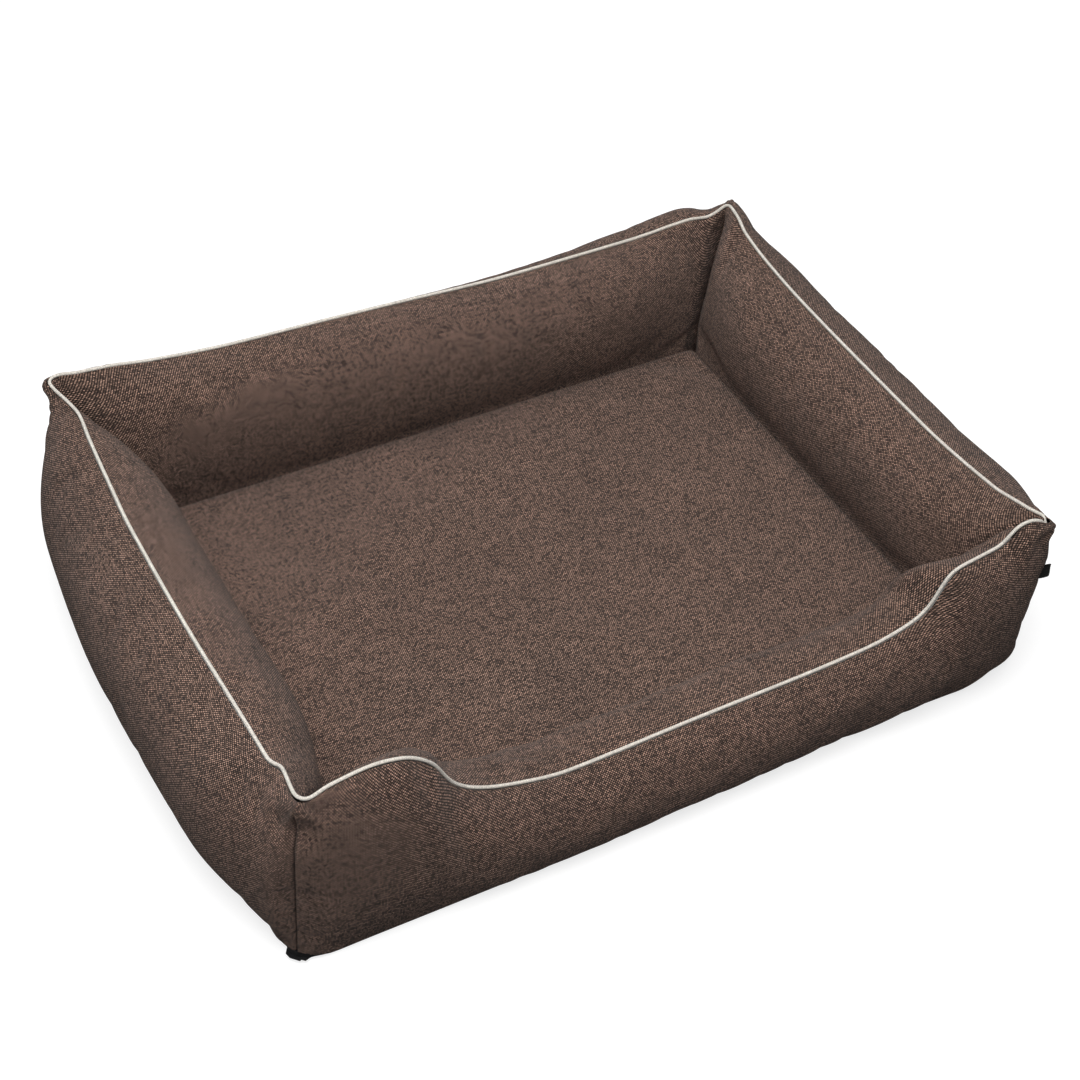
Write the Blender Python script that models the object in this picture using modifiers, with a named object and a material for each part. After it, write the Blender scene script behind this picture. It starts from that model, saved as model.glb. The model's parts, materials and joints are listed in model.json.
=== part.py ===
"""Pet cushion bed: four stuffed walls in a woven cover with a piped rim, a non-slip base and a loose mattress.

Metres, +Z up. The origin is on the floor under the middle of the bed, and the low entrance wall faces -Y.
Each wall's section is drawn as (out, up): out is the distance outwards from the straight line between the
wall's two corner tips, and up is the height above the floor. The walls meet on 45 degree planes through the
tips, so the corner section is shared. Pieces that touch are modelled GAP apart.
"""

from dataclasses import dataclass
from math import cos, hypot, pi, sin

import bmesh
import bpy
from mathutils import Vector

# Rim: the four stuffed walls
TIP_LENGTH = 1.00  # corner tip to corner tip along the front
TIP_DEPTH = 0.76  # corner tip to corner tip along a side
TIP_HEIGHT = 0.258  # piped seam at the corner tips, above the floor
NEST_INSET = 0.072  # from the tip line in to the wall's face at the mattress
SIDE_BELLY = 0.067  # how far the side walls swell past the tip line
END_BELLY = 0.036  # the same for the front and back walls
CORNER_BELLY = 0.012  # the same at the corner seams
SIDE_SAG = 0.022  # how far the piped seam drops between the tips of a side wall
END_SAG = 0.012  # the same for the front and back walls
CORNER_RUN = 0.15  # length over which a wall fills out from a tip
SEAM_FOOT = 0.008  # how far the base seam lies outside the tip line
INNER_CROWN = 0.010  # how far a wall's inner face swells out of flat

# Entrance: the dip in the front wall
ENTRANCE_HEIGHT = 0.120  # piped seam at the bottom of the dip
ENTRANCE_HALF = 0.335  # from the middle of the dip to the middle of a shoulder
ENTRANCE_SHIFT = 0.018  # the dip's middle, towards +X
SHOULDER_RUN = 0.11  # length of each S-shaped shoulder

# Cloth, piping and base
CLOTH = 0.0012
GAP = 0.0003  # between pieces that touch
LOFT = 0.004  # between the cover and the filling
BASE_THICK = 0.003
PIPING_RADIUS = 0.0026
PIPING_CLEARANCE = 0.0004  # between the piping and the cover's edges
FILLING_TOP = 0.014  # from the cover's edge down to the filling, along the cloth

# Mattress
MATTRESS_THICK = 0.0695
MATTRESS_CLEARANCE = 0.001  # to the walls, all round
MATTRESS_CORNER = 0.014

# Zips: one in the back wall's cover, one in the back of the mattress
ZIP_HALF_LENGTH = 0.26
ZIP_WINDOW = 0.030  # across both tapes
ZIP_RISE = 0.036  # middle of the rim zip above the base seam, along the cloth
TAPE_THICK = 0.0008
TAPE_SINK = 0.0006  # tape below the face of the cover
COIL_WIDTH = 0.005
COIL_THICK = 0.0022
STOP_LENGTH = 0.004
RECESS_CLEARANCE = 0.0012  # between the mattress zip's slider and the mattress's edge
SLIDER_LENGTH = 0.012
SLIDER_WIDTH = 0.0090
SLIDER_REST = 0.010  # from a stop to the closed slider
PLATE_THICK = 0.0012
GRIP_RISE = 0.0020  # fixed grip of the mattress zip's slider, above its plate
BAR_RADIUS = 0.0008
POST_LENGTH = 0.0016
PULL_WIDTH = 0.0056
PULL_THICK = 0.0016
PULL_LENGTH = 0.020
EYE_CLEARANCE = 0.0006  # between the bar and the pull's eye
EYE_WALL = 0.0010  # metal round the eye
PULL_CLEARANCE = 0.0004  # between the pull's eye and the slider's plate

# Label tab
TAB_WIDTH = 0.020
TAB_REACH = 0.012
TAB_THICK = 0.0014
TAB_FROM_TIP = 0.012  # along the side wall from the front tip
TAB_HEIGHT = 0.170

# How finely the cloth is divided
WALL_SPACING = 0.034  # between the sections of a plain wall
FRONT_SPACING = 0.024  # the same on the front wall, with its shoulders
UPPER_ROWS = 5
INNER_ROWS = 4
ARC_SAMPLES = 48
CORNER_STEPS = 5

COLOURS = {
    "cover": ((0.105, 0.066, 0.050), 0.92),
    "piping": ((0.78, 0.76, 0.71), 0.65),
    "base": ((0.012, 0.012, 0.013), 0.80),
    "filling": ((0.86, 0.86, 0.84), 0.95),
    "foam": ((0.80, 0.76, 0.62), 0.90),
    "zip": ((0.035, 0.022, 0.017), 0.55),
    "zip_metal": ((0.10, 0.09, 0.085), 0.35),
}


def clear_scene():
    for obj in list(bpy.data.objects):
        bpy.data.objects.remove(obj, do_unlink=True)
    for group in list(bpy.data.collections):
        bpy.data.collections.remove(group)


def new_collection(name, hidden=False):
    group = bpy.data.collections.new(name)
    group.hide_render = hidden
    bpy.context.scene.collection.children.link(group)
    return group


def make_material(name):
    colour, roughness = COLOURS[name]
    material = bpy.data.materials.new(name)
    material.use_nodes = True
    shader = material.node_tree.nodes["Principled BSDF"]
    shader.inputs["Base Color"].default_value = (*colour, 1.0)
    shader.inputs["Roughness"].default_value = roughness
    shader.inputs["Metallic"].default_value = 1.0 if name == "zip_metal" else 0.0
    return material


def place(obj, group, material):
    """Puts an object in a collection, with its material."""
    group.objects.link(obj)
    if obj.type != "EMPTY":
        obj.data.materials.append(material)
    return obj


# ---------------------------------------------------------------- walls


@dataclass
class Wall:
    name: str
    half: float  # half the length between its tips
    reach: float  # from the bed's middle out to its tip line
    quarter: int  # quarter turns about Z from the front wall
    belly: float
    sag: float
    entrance: bool = False

    def world(self, along, out, up):
        """A point of this wall in the bed's frame."""
        x, y = along, -(self.reach + out)
        for _ in range(self.quarter):
            x, y = -y, x
        return Vector((x, y, up))


WALLS = [
    Wall("front", TIP_LENGTH / 2, TIP_DEPTH / 2, 0, END_BELLY, END_SAG, entrance=True),
    Wall("right", TIP_DEPTH / 2, TIP_LENGTH / 2, 1, SIDE_BELLY, SIDE_SAG),
    Wall("back", TIP_LENGTH / 2, TIP_DEPTH / 2, 2, END_BELLY, END_SAG),
    Wall("left", TIP_DEPTH / 2, TIP_LENGTH / 2, 3, SIDE_BELLY, SIDE_SAG),
]
BASE_TOP = BASE_THICK + GAP
NEST_FLOOR = BASE_TOP + MATTRESS_THICK
SEAM_HALF = PIPING_RADIUS + CLOTH + PIPING_CLEARANCE  # from the piping's middle line to the cover's face
SEAM_DROP = PIPING_RADIUS  # from the piping's middle line down to the cover's edge


def smooth(share):
    share = min(max(share, 0.0), 1.0)
    return share * share * (3 - 2 * share)


def fullness(wall, u):
    """0 at a tip, 1 where the wall is fully stuffed."""
    return smooth((1 - abs(u)) * wall.half / CORNER_RUN)


def dip(wall, u):
    """0 on the high parts of the rim, 1 along the bottom of the entrance."""
    if not wall.entrance:
        return 0.0
    from_middle = abs(u * wall.half - ENTRANCE_SHIFT)
    return smooth((ENTRANCE_HALF + SHOULDER_RUN / 2 - from_middle) / SHOULDER_RUN)


def ridge(wall, u):
    """(out, up) of the piped seam."""
    high = TIP_HEIGHT - wall.sag * fullness(wall, u)
    return 0.0, high + (ENTRANCE_HEIGHT - high) * dip(wall, u)


def along(wall, u, out, pull_back):
    """Distance along the wall: straight in the middle, turning to the 45 degree plane at the tips."""
    return u * (wall.half - pull_back) + out * u**3


def bezier(points, t):
    weights = ((1 - t) ** 3, 3 * t * (1 - t) ** 2, 3 * t * t * (1 - t), t**3)
    return tuple(sum(w * p[axis] for w, p in zip(weights, points)) for axis in (0, 1))


def at_distances(curve, distances):
    """Points of a polyline at these distances from its start."""
    found = []
    for wanted in distances:
        walked = 0.0
        for (a, b), (c, d) in zip(curve, curve[1:]):
            step = hypot(c - a, d - b)
            if walked + step >= wanted or (c, d) == curve[-1]:
                share = min(max((wanted - walked) / step, 0.0), 1.0)
                found.append((a + (c - a) * share, b + (d - b) * share))
                break
            walked += step
    return found


def length_of(curve):
    return sum(hypot(c - a, d - b) for (a, b), (c, d) in zip(curve, curve[1:]))


def outer_curve(wall, u):
    """The outside of the section, from the base seam up to the piping, finely sampled."""
    out, up = ridge(wall, u)
    full = fullness(wall, u)
    belly = CORNER_BELLY + (wall.belly - CORNER_BELLY) * full
    foot = SEAM_FOOT
    height = up - BASE_TOP
    # A cubic's middle point is an eighth of its ends and three eighths of each handle.
    handle = (belly - (out + foot) / 8) / 0.75
    points = (
        (foot, BASE_TOP),
        (handle, BASE_TOP + 0.22 * height),
        (handle, up - 0.06 * height),
        (out + SEAM_HALF, up - SEAM_DROP),
    )
    return [bezier(points, step / ARC_SAMPLES) for step in range(ARC_SAMPLES + 1)]


def outer_rows(wall, u):
    """(out, up) down the outside: the base seam, the two edges of the zip's window, and on up to the piping."""
    curve = outer_curve(wall, u)
    low, high = ZIP_RISE - ZIP_WINDOW / 2, ZIP_RISE + ZIP_WINDOW / 2
    rest = length_of(curve) - high
    distances = [0.0, low, high] + [high + rest * row / UPPER_ROWS for row in range(1, UPPER_ROWS + 1)]
    return at_distances(curve, distances)


def inner_rows(wall, u):
    """(out, up) down the inside: from the piping to the mattress's top edge, and on down to the base."""
    out, up = ridge(wall, u)
    top = (out - SEAM_HALF, up - SEAM_DROP)
    foot = (-NEST_INSET, NEST_FLOOR)
    run = hypot(foot[0] - top[0], foot[1] - top[1])
    normal = ((foot[1] - top[1]) / run, (top[0] - foot[0]) / run)
    crown = INNER_CROWN * fullness(wall, u) * min(run / TIP_HEIGHT, 1.0)
    rows = []
    for row in range(INNER_ROWS + 1):
        share = row / INNER_ROWS
        swell = crown * 4 * share * (1 - share)
        rows.append(
            tuple(top[axis] + (foot[axis] - top[axis]) * share + normal[axis] * swell for axis in (0, 1))
        )
    return rows + [(-NEST_INSET, BASE_TOP)]


def stations(wall):
    """Places along the wall, -1 to 1, closer together near the tips. The zip's ends are among them."""
    count = 2 * round(wall.half / (FRONT_SPACING if wall.entrance else WALL_SPACING))
    steps = [-1 + 2 * step / count for step in range(count + 1)]
    places = [0.55 * step + 0.45 * sin(step * pi / 2) for step in steps]
    if wall.name == "back":
        zip_end = ZIP_HALF_LENGTH / wall.half
        for end in (-zip_end, zip_end):
            nearest = min(range(len(places)), key=lambda index: abs(places[index] - end))
            places[nearest] = end
    return places


def cloth_panel(name, group, material, wall, rows_at, pull_back, window=None):
    """A wall's cover panel: a surface lofted through its sections, then given the cloth's thickness."""
    places = stations(wall)
    bm = bmesh.new()
    grid = []
    for u in places:
        grid.append([bm.verts.new(wall.world(along(wall, u, n, pull_back), n, z)) for n, z in rows_at(wall, u)])
    for column, u in enumerate(places[:-1]):
        for row in range(len(grid[0]) - 1):
            if window and window(u, places[column + 1], row):
                continue
            here, there = grid[column], grid[column + 1]
            bm.faces.new([here[row], there[row], there[row + 1], here[row + 1]])
    for vert in [vert for vert in bm.verts if not vert.link_faces]:
        bm.verts.remove(vert)
    return solidified(name, group, material, bm, CLOTH)


def solidified(name, group, material, bm, thickness):
    """An object from an open surface, thickened on its back side."""
    mesh = bpy.data.meshes.new(name)
    bm.to_mesh(mesh)
    bm.free()
    obj = place(bpy.data.objects.new(name, mesh), group, material)
    shell = obj.modifiers.new("thickness", "SOLIDIFY")
    shell.thickness = thickness
    shell.offset = -1
    shell.use_even_offset = True
    mesh.shade_smooth()
    mesh.set_sharp_from_angle(angle=pi / 4)
    return obj


def inset(points, distance):
    """An open (out, up) outline moved to its left by a distance."""
    moved = []
    for index, (n, z) in enumerate(points):
        before = points[max(index - 1, 0)]
        after = points[min(index + 1, len(points) - 1)]
        run = hypot(after[0] - before[0], after[1] - before[1])
        moved.append((n - (after[1] - before[1]) / run * distance, z + (after[0] - before[0]) / run * distance))
    return moved


def filling_section(wall, u):
    """The stuffing's closed section: up the outside, over the top and down the inside."""
    outer, inner = outer_rows(wall, u), inner_rows(wall, u)
    outside = outer[:-1] + at_distances(outer, [length_of(outer) - FILLING_TOP])
    inside = at_distances(inner, [FILLING_TOP]) + inner[1:]
    outside, inside = inset(outside, CLOTH + LOFT), inset(inside, CLOTH + LOFT)
    floor = BASE_TOP + GAP
    outside[0] = (outside[0][0], floor)
    inside[-1] = (inside[-1][0], floor)
    return outside + inside


def wall_filling(group, material, wall):
    """One wall's stuffing, lofted along the wall and closed at the 45 degree planes."""
    bm = bmesh.new()
    rings = []
    for u in stations(wall):
        section = filling_section(wall, u)
        rings.append([bm.verts.new(wall.world(along(wall, u, n, CLOTH + 2 * GAP), n, z)) for n, z in section])
    count = len(rings[0])
    for ring, following in zip(rings, rings[1:]):
        for index in range(count):
            after = (index + 1) % count
            bm.faces.new([ring[index], following[index], following[after], ring[after]])
    bm.faces.new(rings[0])
    bm.faces.new(rings[-1][::-1])
    mesh = bpy.data.meshes.new(f"filling_{wall.name}")
    bm.to_mesh(mesh)
    bm.free()
    return place(bpy.data.objects.new(mesh.name, mesh), group, material)


def in_zip_window(u, following, row):
    """True for the cells of the back panel that the rim zip takes up. Row 1 is the zip's row."""
    end = ZIP_HALF_LENGTH / (TIP_LENGTH / 2) + 1e-6
    return row == 1 and -end <= u and following <= end


def make_piping(group, material):
    """The cord in its bias strip: one length round the whole rim, its ends tucked in at the front right tip."""
    points = []
    for wall in (WALLS[0], WALLS[3], WALLS[2], WALLS[1]):
        for u in reversed(stations(wall)):
            near_tip = min(abs(u), 1 - PIPING_RADIUS * 2.2 / wall.half)
            u = near_tip if u > 0 else -near_tip
            out, up = ridge(wall, u)
            points.append(wall.world(along(wall, u, out, 0.0), out, up))
    curve = bpy.data.curves.new("piping", "CURVE")
    curve.dimensions = "3D"
    curve.bevel_depth = PIPING_RADIUS
    curve.bevel_resolution = 2
    curve.use_fill_caps = True
    spline = curve.splines.new("POLY")
    spline.points.add(len(points) - 1)
    for point, where in zip(spline.points, points):
        point.co = (*where, 1.0)
    return place(bpy.data.objects.new("piping", curve), group, material)


def make_base(group, material):
    """The non-slip base: the outline of the four base seams, as one flat sheet."""
    outline = []
    for wall in WALLS:
        for u in stations(wall)[:-1]:
            outline.append(wall.world(along(wall, u, SEAM_FOOT, 0.0), SEAM_FOOT, BASE_THICK))
    bm = bmesh.new()
    bm.faces.new([bm.verts.new(point) for point in outline])
    return solidified("base_panel", group, material, bm, BASE_THICK)


# ---------------------------------------------------------------- flat sewn pieces


def rounded_outline(half_x, half_y, radius):
    """Points anticlockwise round a rectangle with round corners."""
    points = []
    for quarter, (sx, sy) in enumerate(((1, 1), (-1, 1), (-1, -1), (1, -1))):
        for step in range(CORNER_STEPS + 1):
            angle = (quarter + step / CORNER_STEPS) * pi / 2
            points.append(
                (sx * (half_x - radius) + radius * cos(angle), sy * (half_y - radius) + radius * sin(angle))
            )
    return points


def slab(name, group, material, outline, low, high):
    """A flat piece from an outline, between two heights."""
    bm = bmesh.new()
    bottom = bm.faces.new([bm.verts.new((x, y, low)) for x, y in reversed(outline)])
    bottom_edges = bmesh.ops.extrude_face_region(bm, geom=[bottom], use_keep_orig=True)["geom"]
    for item in bottom_edges:
        if isinstance(item, bmesh.types.BMVert):
            item.co.z = high
    bmesh.ops.recalc_face_normals(bm, faces=bm.faces[:])
    mesh = bpy.data.meshes.new(name)
    bm.to_mesh(mesh)
    bm.free()
    return place(bpy.data.objects.new(name, mesh), group, material)


def block(name, centre, size):
    """A box as a mesh object, for cutting or joining."""
    bm = bmesh.new()
    bmesh.ops.create_cube(bm, size=1.0)
    bmesh.ops.scale(bm, vec=size, verts=bm.verts)
    bmesh.ops.translate(bm, vec=centre, verts=bm.verts)
    mesh = bpy.data.meshes.new(name)
    bm.to_mesh(mesh)
    bm.free()
    return bpy.data.objects.new(name, mesh)


def rod(name, centre, radius, length, sides):
    """A cylinder along X."""
    bm = bmesh.new()
    bmesh.ops.create_cone(
        bm, cap_ends=True, segments=sides, radius1=radius, radius2=radius, depth=length
    )
    for vert in bm.verts:
        x, y, z = vert.co
        vert.co = (z + centre[0], y + centre[1], -x + centre[2])
    mesh = bpy.data.meshes.new(name)
    bm.to_mesh(mesh)
    bm.free()
    return bpy.data.objects.new(name, mesh)


def combine(obj, tool, operation, cutters):
    """Adds a Boolean with a tool that is kept hidden in the cutters' collection."""
    cutters.objects.link(tool)
    tool.hide_render = True
    tool.display_type = "WIRE"
    tool.parent = obj.parent
    step = obj.modifiers.new(tool.name, "BOOLEAN")
    step.operation = operation
    step.solver = "EXACT"
    step.object = tool


# ---------------------------------------------------------------- zips


def straight_strip(name, group, material, x_low, x_high, edge_a, edge_b, thickness):
    """A strip along X between two (y, z) edges, thickened on its back side. Its face looks towards +Y."""
    bm = bmesh.new()
    corners = [(x_high, *edge_a), (x_low, *edge_a), (x_low, *edge_b), (x_high, *edge_b)]
    bm.faces.new([bm.verts.new(corner) for corner in corners])
    return solidified(name, group, material, bm, thickness)


COIL_PROUD = COIL_THICK / 3  # above the tapes
PLATE_TOP = COIL_PROUD + GAP + PLATE_THICK
EYE_RADIUS = BAR_RADIUS + EYE_CLEARANCE
BAR_RISE = EYE_RADIUS + EYE_WALL + PULL_CLEARANCE  # bar's middle above the slider's plate
SLIDER_START = STOP_LENGTH + SLIDER_REST + SLIDER_LENGTH / 2 - ZIP_HALF_LENGTH


@dataclass
class ZipLine:
    """A straight zip along X: a point on its middle line, the way its face looks, and the way up its face."""

    name: str
    middle: tuple  # (y, z) of the face's middle line
    face: tuple  # (y, z) unit normal
    up: tuple  # (y, z) unit vector across the zip, towards the top

    def at(self, across, proud):
        """(y, z) at a distance across the zip and a height above its face."""
        return tuple(self.middle[k] + self.up[k] * across + self.face[k] * proud for k in (0, 1))


def make_zip(line, has_pull, group, cutters, materials):
    """Tapes, coil, stops and slider. A pull hangs straight down from the slider's bar."""
    cloth, metal = materials["zip"], materials["zip_metal"]
    tape_end = ZIP_HALF_LENGTH - GAP
    outer_edge = ZIP_WINDOW / 2 - GAP
    coil_edge = COIL_WIDTH / 2 + GAP
    coil_end = tape_end - STOP_LENGTH - GAP
    for side, across in (("upper", (coil_edge, outer_edge)), ("lower", (-outer_edge, -coil_edge))):
        edges = [line.at(distance, 0.0) for distance in across]
        straight_strip(f"{line.name}_tape_{side}", group, cloth, -tape_end, tape_end, *edges, TAPE_THICK)
    edges = [line.at(distance, COIL_PROUD) for distance in (-COIL_WIDTH / 2, COIL_WIDTH / 2)]
    straight_strip(f"{line.name}_coil", group, cloth, -coil_end, coil_end, *edges, COIL_THICK)
    for end, low, high in (("start", -tape_end, -coil_end - GAP), ("finish", coil_end + GAP, tape_end)):
        straight_strip(f"{line.name}_stop_{end}", group, metal, low, high, *edges, COIL_THICK)
    slider = make_slider(line, group, cutters, metal)
    if has_pull:
        add_bar(slider, line, cutters)
        make_pull(line, group, cutters, metal)
    else:
        grip_at = (SLIDER_START, 0.0, PLATE_TOP + (GRIP_RISE - PLATE_THICK) / 2)
        grip = block(f"{line.name}_grip", grip_at, (SLIDER_LENGTH / 2, 3 * BAR_RADIUS, GRIP_RISE + PLATE_THICK))
        combine(slider, across_zip(grip, line), "UNION", cutters)


def across_zip(obj, line):
    """Moves a mesh drawn with Y across the zip and Z out of its face onto the zip."""
    for vert in obj.data.vertices:
        x, across, proud = vert.co
        vert.co = (x, *line.at(across, proud))
    return obj


def make_slider(line, group, cutters, material):
    """A plate over the coil, with a skirt down each side of it."""
    centre = (SLIDER_START, 0.0, PLATE_TOP - PLATE_THICK / 2)
    slider = across_zip(block(f"{line.name}_slider", centre, (SLIDER_LENGTH, SLIDER_WIDTH, PLATE_THICK)), line)
    place(slider, group, material)
    skirt_inner = COIL_WIDTH / 2 + GAP
    skirt_wide = SLIDER_WIDTH / 2 - GAP - skirt_inner
    skirt_tall = PLATE_TOP - PLATE_THICK / 2 - GAP
    for side in (-1, 1):
        middle = (SLIDER_START, side * (skirt_inner + skirt_wide / 2), GAP + skirt_tall / 2)
        skirt = block(f"{line.name}_skirt_{side}", middle, (SLIDER_LENGTH - 2 * GAP, skirt_wide, skirt_tall))
        combine(slider, across_zip(skirt, line), "UNION", cutters)
    return slider


def add_bar(slider, line, cutters):
    """Two posts on the slider and a round bar along X between them."""
    tall = PLATE_THICK / 2 + BAR_RISE + BAR_RADIUS
    for side in (-1, 1):
        post_x = SLIDER_START + side * ((SLIDER_LENGTH - POST_LENGTH) / 2 - GAP)
        post_at = (post_x, 0.0, PLATE_TOP - PLATE_THICK / 2 + tall / 2)
        post = block(f"{line.name}_post_{side}", post_at, (POST_LENGTH, 3 * BAR_RADIUS, tall))
        combine(slider, across_zip(post, line), "UNION", cutters)
    middle = (SLIDER_START, 0.0, PLATE_TOP + BAR_RISE)
    bar = rod(f"{line.name}_bar", middle, BAR_RADIUS, SLIDER_LENGTH - POST_LENGTH - 2 * GAP, 12)
    combine(slider, across_zip(bar, line), "UNION", cutters)


def make_pull(line, group, cutters, material):
    """A flat tab hanging from an empty on the bar, with a round head and an eye that the bar passes through."""
    axis = bpy.data.objects.new(f"{line.name}_pull_axis", None)
    axis.location = (SLIDER_START, *line.at(0.0, PLATE_TOP + BAR_RISE))
    group.objects.link(axis)
    pull = block(f"{line.name}_pull", (0.0, 0.0, -PULL_LENGTH / 2), (PULL_WIDTH, PULL_THICK, PULL_LENGTH))
    pull.parent = axis
    place(pull, group, material)
    head = rod(f"{line.name}_head", (0.0, 0.0, 0.0), EYE_RADIUS + EYE_WALL, PULL_WIDTH, 16)
    combine(pull, head, "UNION", cutters)
    eye = rod(f"{line.name}_eye", (0.0, 0.0, 0.0), EYE_RADIUS, 2 * PULL_WIDTH, 16)
    combine(pull, eye, "DIFFERENCE", cutters)


def rim_zip_line():
    """The rim zip lies in the back panel's window, on the chord between the window's edges."""
    back = WALLS[2]
    rows = outer_rows(back, 0.0)
    (low_n, low_z), (high_n, high_z) = rows[1], rows[2]
    run = hypot(high_n - low_n, high_z - low_z)
    up = ((high_n - low_n) / run, (high_z - low_z) / run)
    face = (up[1], -up[0])
    middle = (back.reach + (low_n + high_n) / 2, (low_z + high_z) / 2)
    sunk = tuple(middle[k] - face[k] * TAPE_SINK for k in (0, 1))
    return ZipLine("rim_zip", sunk, face, up)


# ---------------------------------------------------------------- mattress


MATTRESS_HALF_X = TIP_LENGTH / 2 - NEST_INSET - MATTRESS_CLEARANCE
MATTRESS_HALF_Y = TIP_DEPTH / 2 - NEST_INSET - MATTRESS_CLEARANCE


def make_mattress(group, cutters, materials):
    """Top and bottom panels, a band with the window for the zip, and the foam with a recess for it."""
    cover, foam = materials["cover"], materials["foam"]
    low = BASE_TOP
    high = NEST_FLOOR
    outline = rounded_outline(MATTRESS_HALF_X, MATTRESS_HALF_Y, MATTRESS_CORNER)
    slab("mattress_bottom_panel", group, cover, outline, low, low + CLOTH)
    slab("mattress_top_panel", group, cover, outline, high - CLOTH, high)
    band_low, band_high = low + CLOTH + GAP, high - CLOTH - GAP

    bm = bmesh.new()
    rings = [[bm.verts.new((x, y, z)) for x, y in outline] for z in (band_low, band_high)]
    count = len(outline)
    for index in range(count):
        after = (index + 1) % count
        bm.faces.new([rings[0][index], rings[0][after], rings[1][after], rings[1][index]])
    band = solidified("mattress_band", group, cover, bm, CLOTH)
    middle_z = (low + high) / 2
    window_size = (2 * ZIP_HALF_LENGTH, 8 * CLOTH, ZIP_WINDOW)
    window = block("mattress_zip_window", (0.0, MATTRESS_HALF_Y, middle_z), window_size)
    combine(band, window, "DIFFERENCE", cutters)

    inside = CLOTH + GAP
    foam_outline = rounded_outline(MATTRESS_HALF_X - inside, MATTRESS_HALF_Y - inside, MATTRESS_CORNER - inside)
    core = slab("mattress_foam", group, foam, foam_outline, band_low, band_high)
    sink = PLATE_TOP + GRIP_RISE + RECESS_CLEARANCE
    recess_depth = sink + COIL_THICK + 2 * GAP
    recess_size = (2 * ZIP_HALF_LENGTH + 2 * GAP, 2 * recess_depth, ZIP_WINDOW + 4 * GAP)
    recess = block("mattress_zip_recess", (0.0, MATTRESS_HALF_Y, middle_z), recess_size)
    combine(core, recess, "DIFFERENCE", cutters)
    return ZipLine("mattress_zip", (MATTRESS_HALF_Y - sink, middle_z), (1.0, 0.0), (0.0, 1.0))


# ---------------------------------------------------------------- label


def make_label(group, material):
    """A blank folded ribbon tab, standing out of the right wall's cover just behind the front tip."""
    wall = WALLS[1]
    y = TAB_FROM_TIP - wall.half
    places = [-1 + step / ARC_SAMPLES for step in range(ARC_SAMPLES)]
    cloth = [(along(wall, u, n, 0.0), n, z) for u in places for n, z in outer_curve(wall, u)]
    beside = [n for where, n, z in cloth if abs(where - y) < TAB_REACH and abs(z - TAB_HEIGHT) < TAB_WIDTH]
    x = wall.reach + max(beside) + GAP + TAB_REACH / 2
    return place(block("label_tab", (x, y, TAB_HEIGHT), (TAB_REACH, TAB_THICK, TAB_WIDTH)), group, material)


def main():
    clear_scene()
    bed = new_collection("pet_cushion_bed")
    cutters = new_collection("cutters", hidden=True)
    materials = {name: make_material(name) for name in COLOURS}
    make_base(bed, materials["base"])
    for wall in WALLS:
        wall_filling(bed, materials["filling"], wall)
        window = in_zip_window if wall.name == "back" else None
        cover = materials["cover"]
        cloth_panel(f"outer_panel_{wall.name}", bed, cover, wall, outer_rows, CLOTH + GAP, window)
        cloth_panel(f"inner_panel_{wall.name}", bed, cover, wall, inner_rows, 2 * GAP)
    make_piping(bed, materials["piping"])
    make_label(bed, materials["base"])
    mattress_zip = make_mattress(bed, cutters, materials)
    make_zip(rim_zip_line(), True, bed, cutters, materials)
    make_zip(mattress_zip, False, bed, cutters, materials)


main()
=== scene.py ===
# %% [markdown]
# # Pet cushion bed
# A lounger for a dog: four stuffed walls sewn from a brown hopsack cloth, a pale piping that runs round the
# whole rim, a black non-slip base, and a loose foam mattress in a zipped cover. The CAD frame gives the
# sizes, the seams and the bodies that move. The cloth is made here, as a sewer would: flat panels are laid
# over the shape of the stuffing, pinned along their seams, and blown up a little by a cloth simulation.

# %% The frame
import json
from math import cos, pi, radians, sin

import bpy
import numpy as np
from mathutils import Matrix, Vector

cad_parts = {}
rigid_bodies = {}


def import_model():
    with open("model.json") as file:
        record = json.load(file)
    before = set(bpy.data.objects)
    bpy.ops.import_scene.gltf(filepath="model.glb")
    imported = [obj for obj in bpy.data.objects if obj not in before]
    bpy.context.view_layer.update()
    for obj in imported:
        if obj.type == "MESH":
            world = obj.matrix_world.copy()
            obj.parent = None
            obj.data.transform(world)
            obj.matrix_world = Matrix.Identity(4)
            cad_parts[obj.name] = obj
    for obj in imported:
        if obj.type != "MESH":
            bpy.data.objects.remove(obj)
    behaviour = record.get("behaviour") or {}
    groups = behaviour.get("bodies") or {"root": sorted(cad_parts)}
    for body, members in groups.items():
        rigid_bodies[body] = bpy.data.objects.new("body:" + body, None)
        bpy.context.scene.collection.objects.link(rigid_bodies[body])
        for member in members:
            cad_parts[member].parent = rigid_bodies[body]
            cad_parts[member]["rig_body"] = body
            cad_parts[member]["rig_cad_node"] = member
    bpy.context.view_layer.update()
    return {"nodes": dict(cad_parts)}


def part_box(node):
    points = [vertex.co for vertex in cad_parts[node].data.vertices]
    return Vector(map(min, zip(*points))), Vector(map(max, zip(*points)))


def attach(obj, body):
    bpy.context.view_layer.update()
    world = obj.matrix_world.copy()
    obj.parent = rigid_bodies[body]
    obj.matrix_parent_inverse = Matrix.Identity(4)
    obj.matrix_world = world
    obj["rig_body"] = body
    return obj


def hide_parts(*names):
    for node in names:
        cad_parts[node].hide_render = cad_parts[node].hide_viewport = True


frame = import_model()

# %% [markdown]
# ## Working by hand, in code
# Blender's operators act on whatever is selected, so each one is called after everything else has been
# deselected. A few small helpers do that: one selects, one starts a primitive, one runs steps in edit
# mode, and one adds a modifier and applies it at once, so that no piece keeps a live modifier that could
# change later.


# %% Selecting and applying
def only(*pieces):
    """Selects these pieces and nothing else. The first is active."""
    bpy.ops.object.select_all(action="DESELECT")
    for piece in pieces:
        piece.select_set(True)
    bpy.context.view_layer.objects.active = pieces[0]


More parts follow.
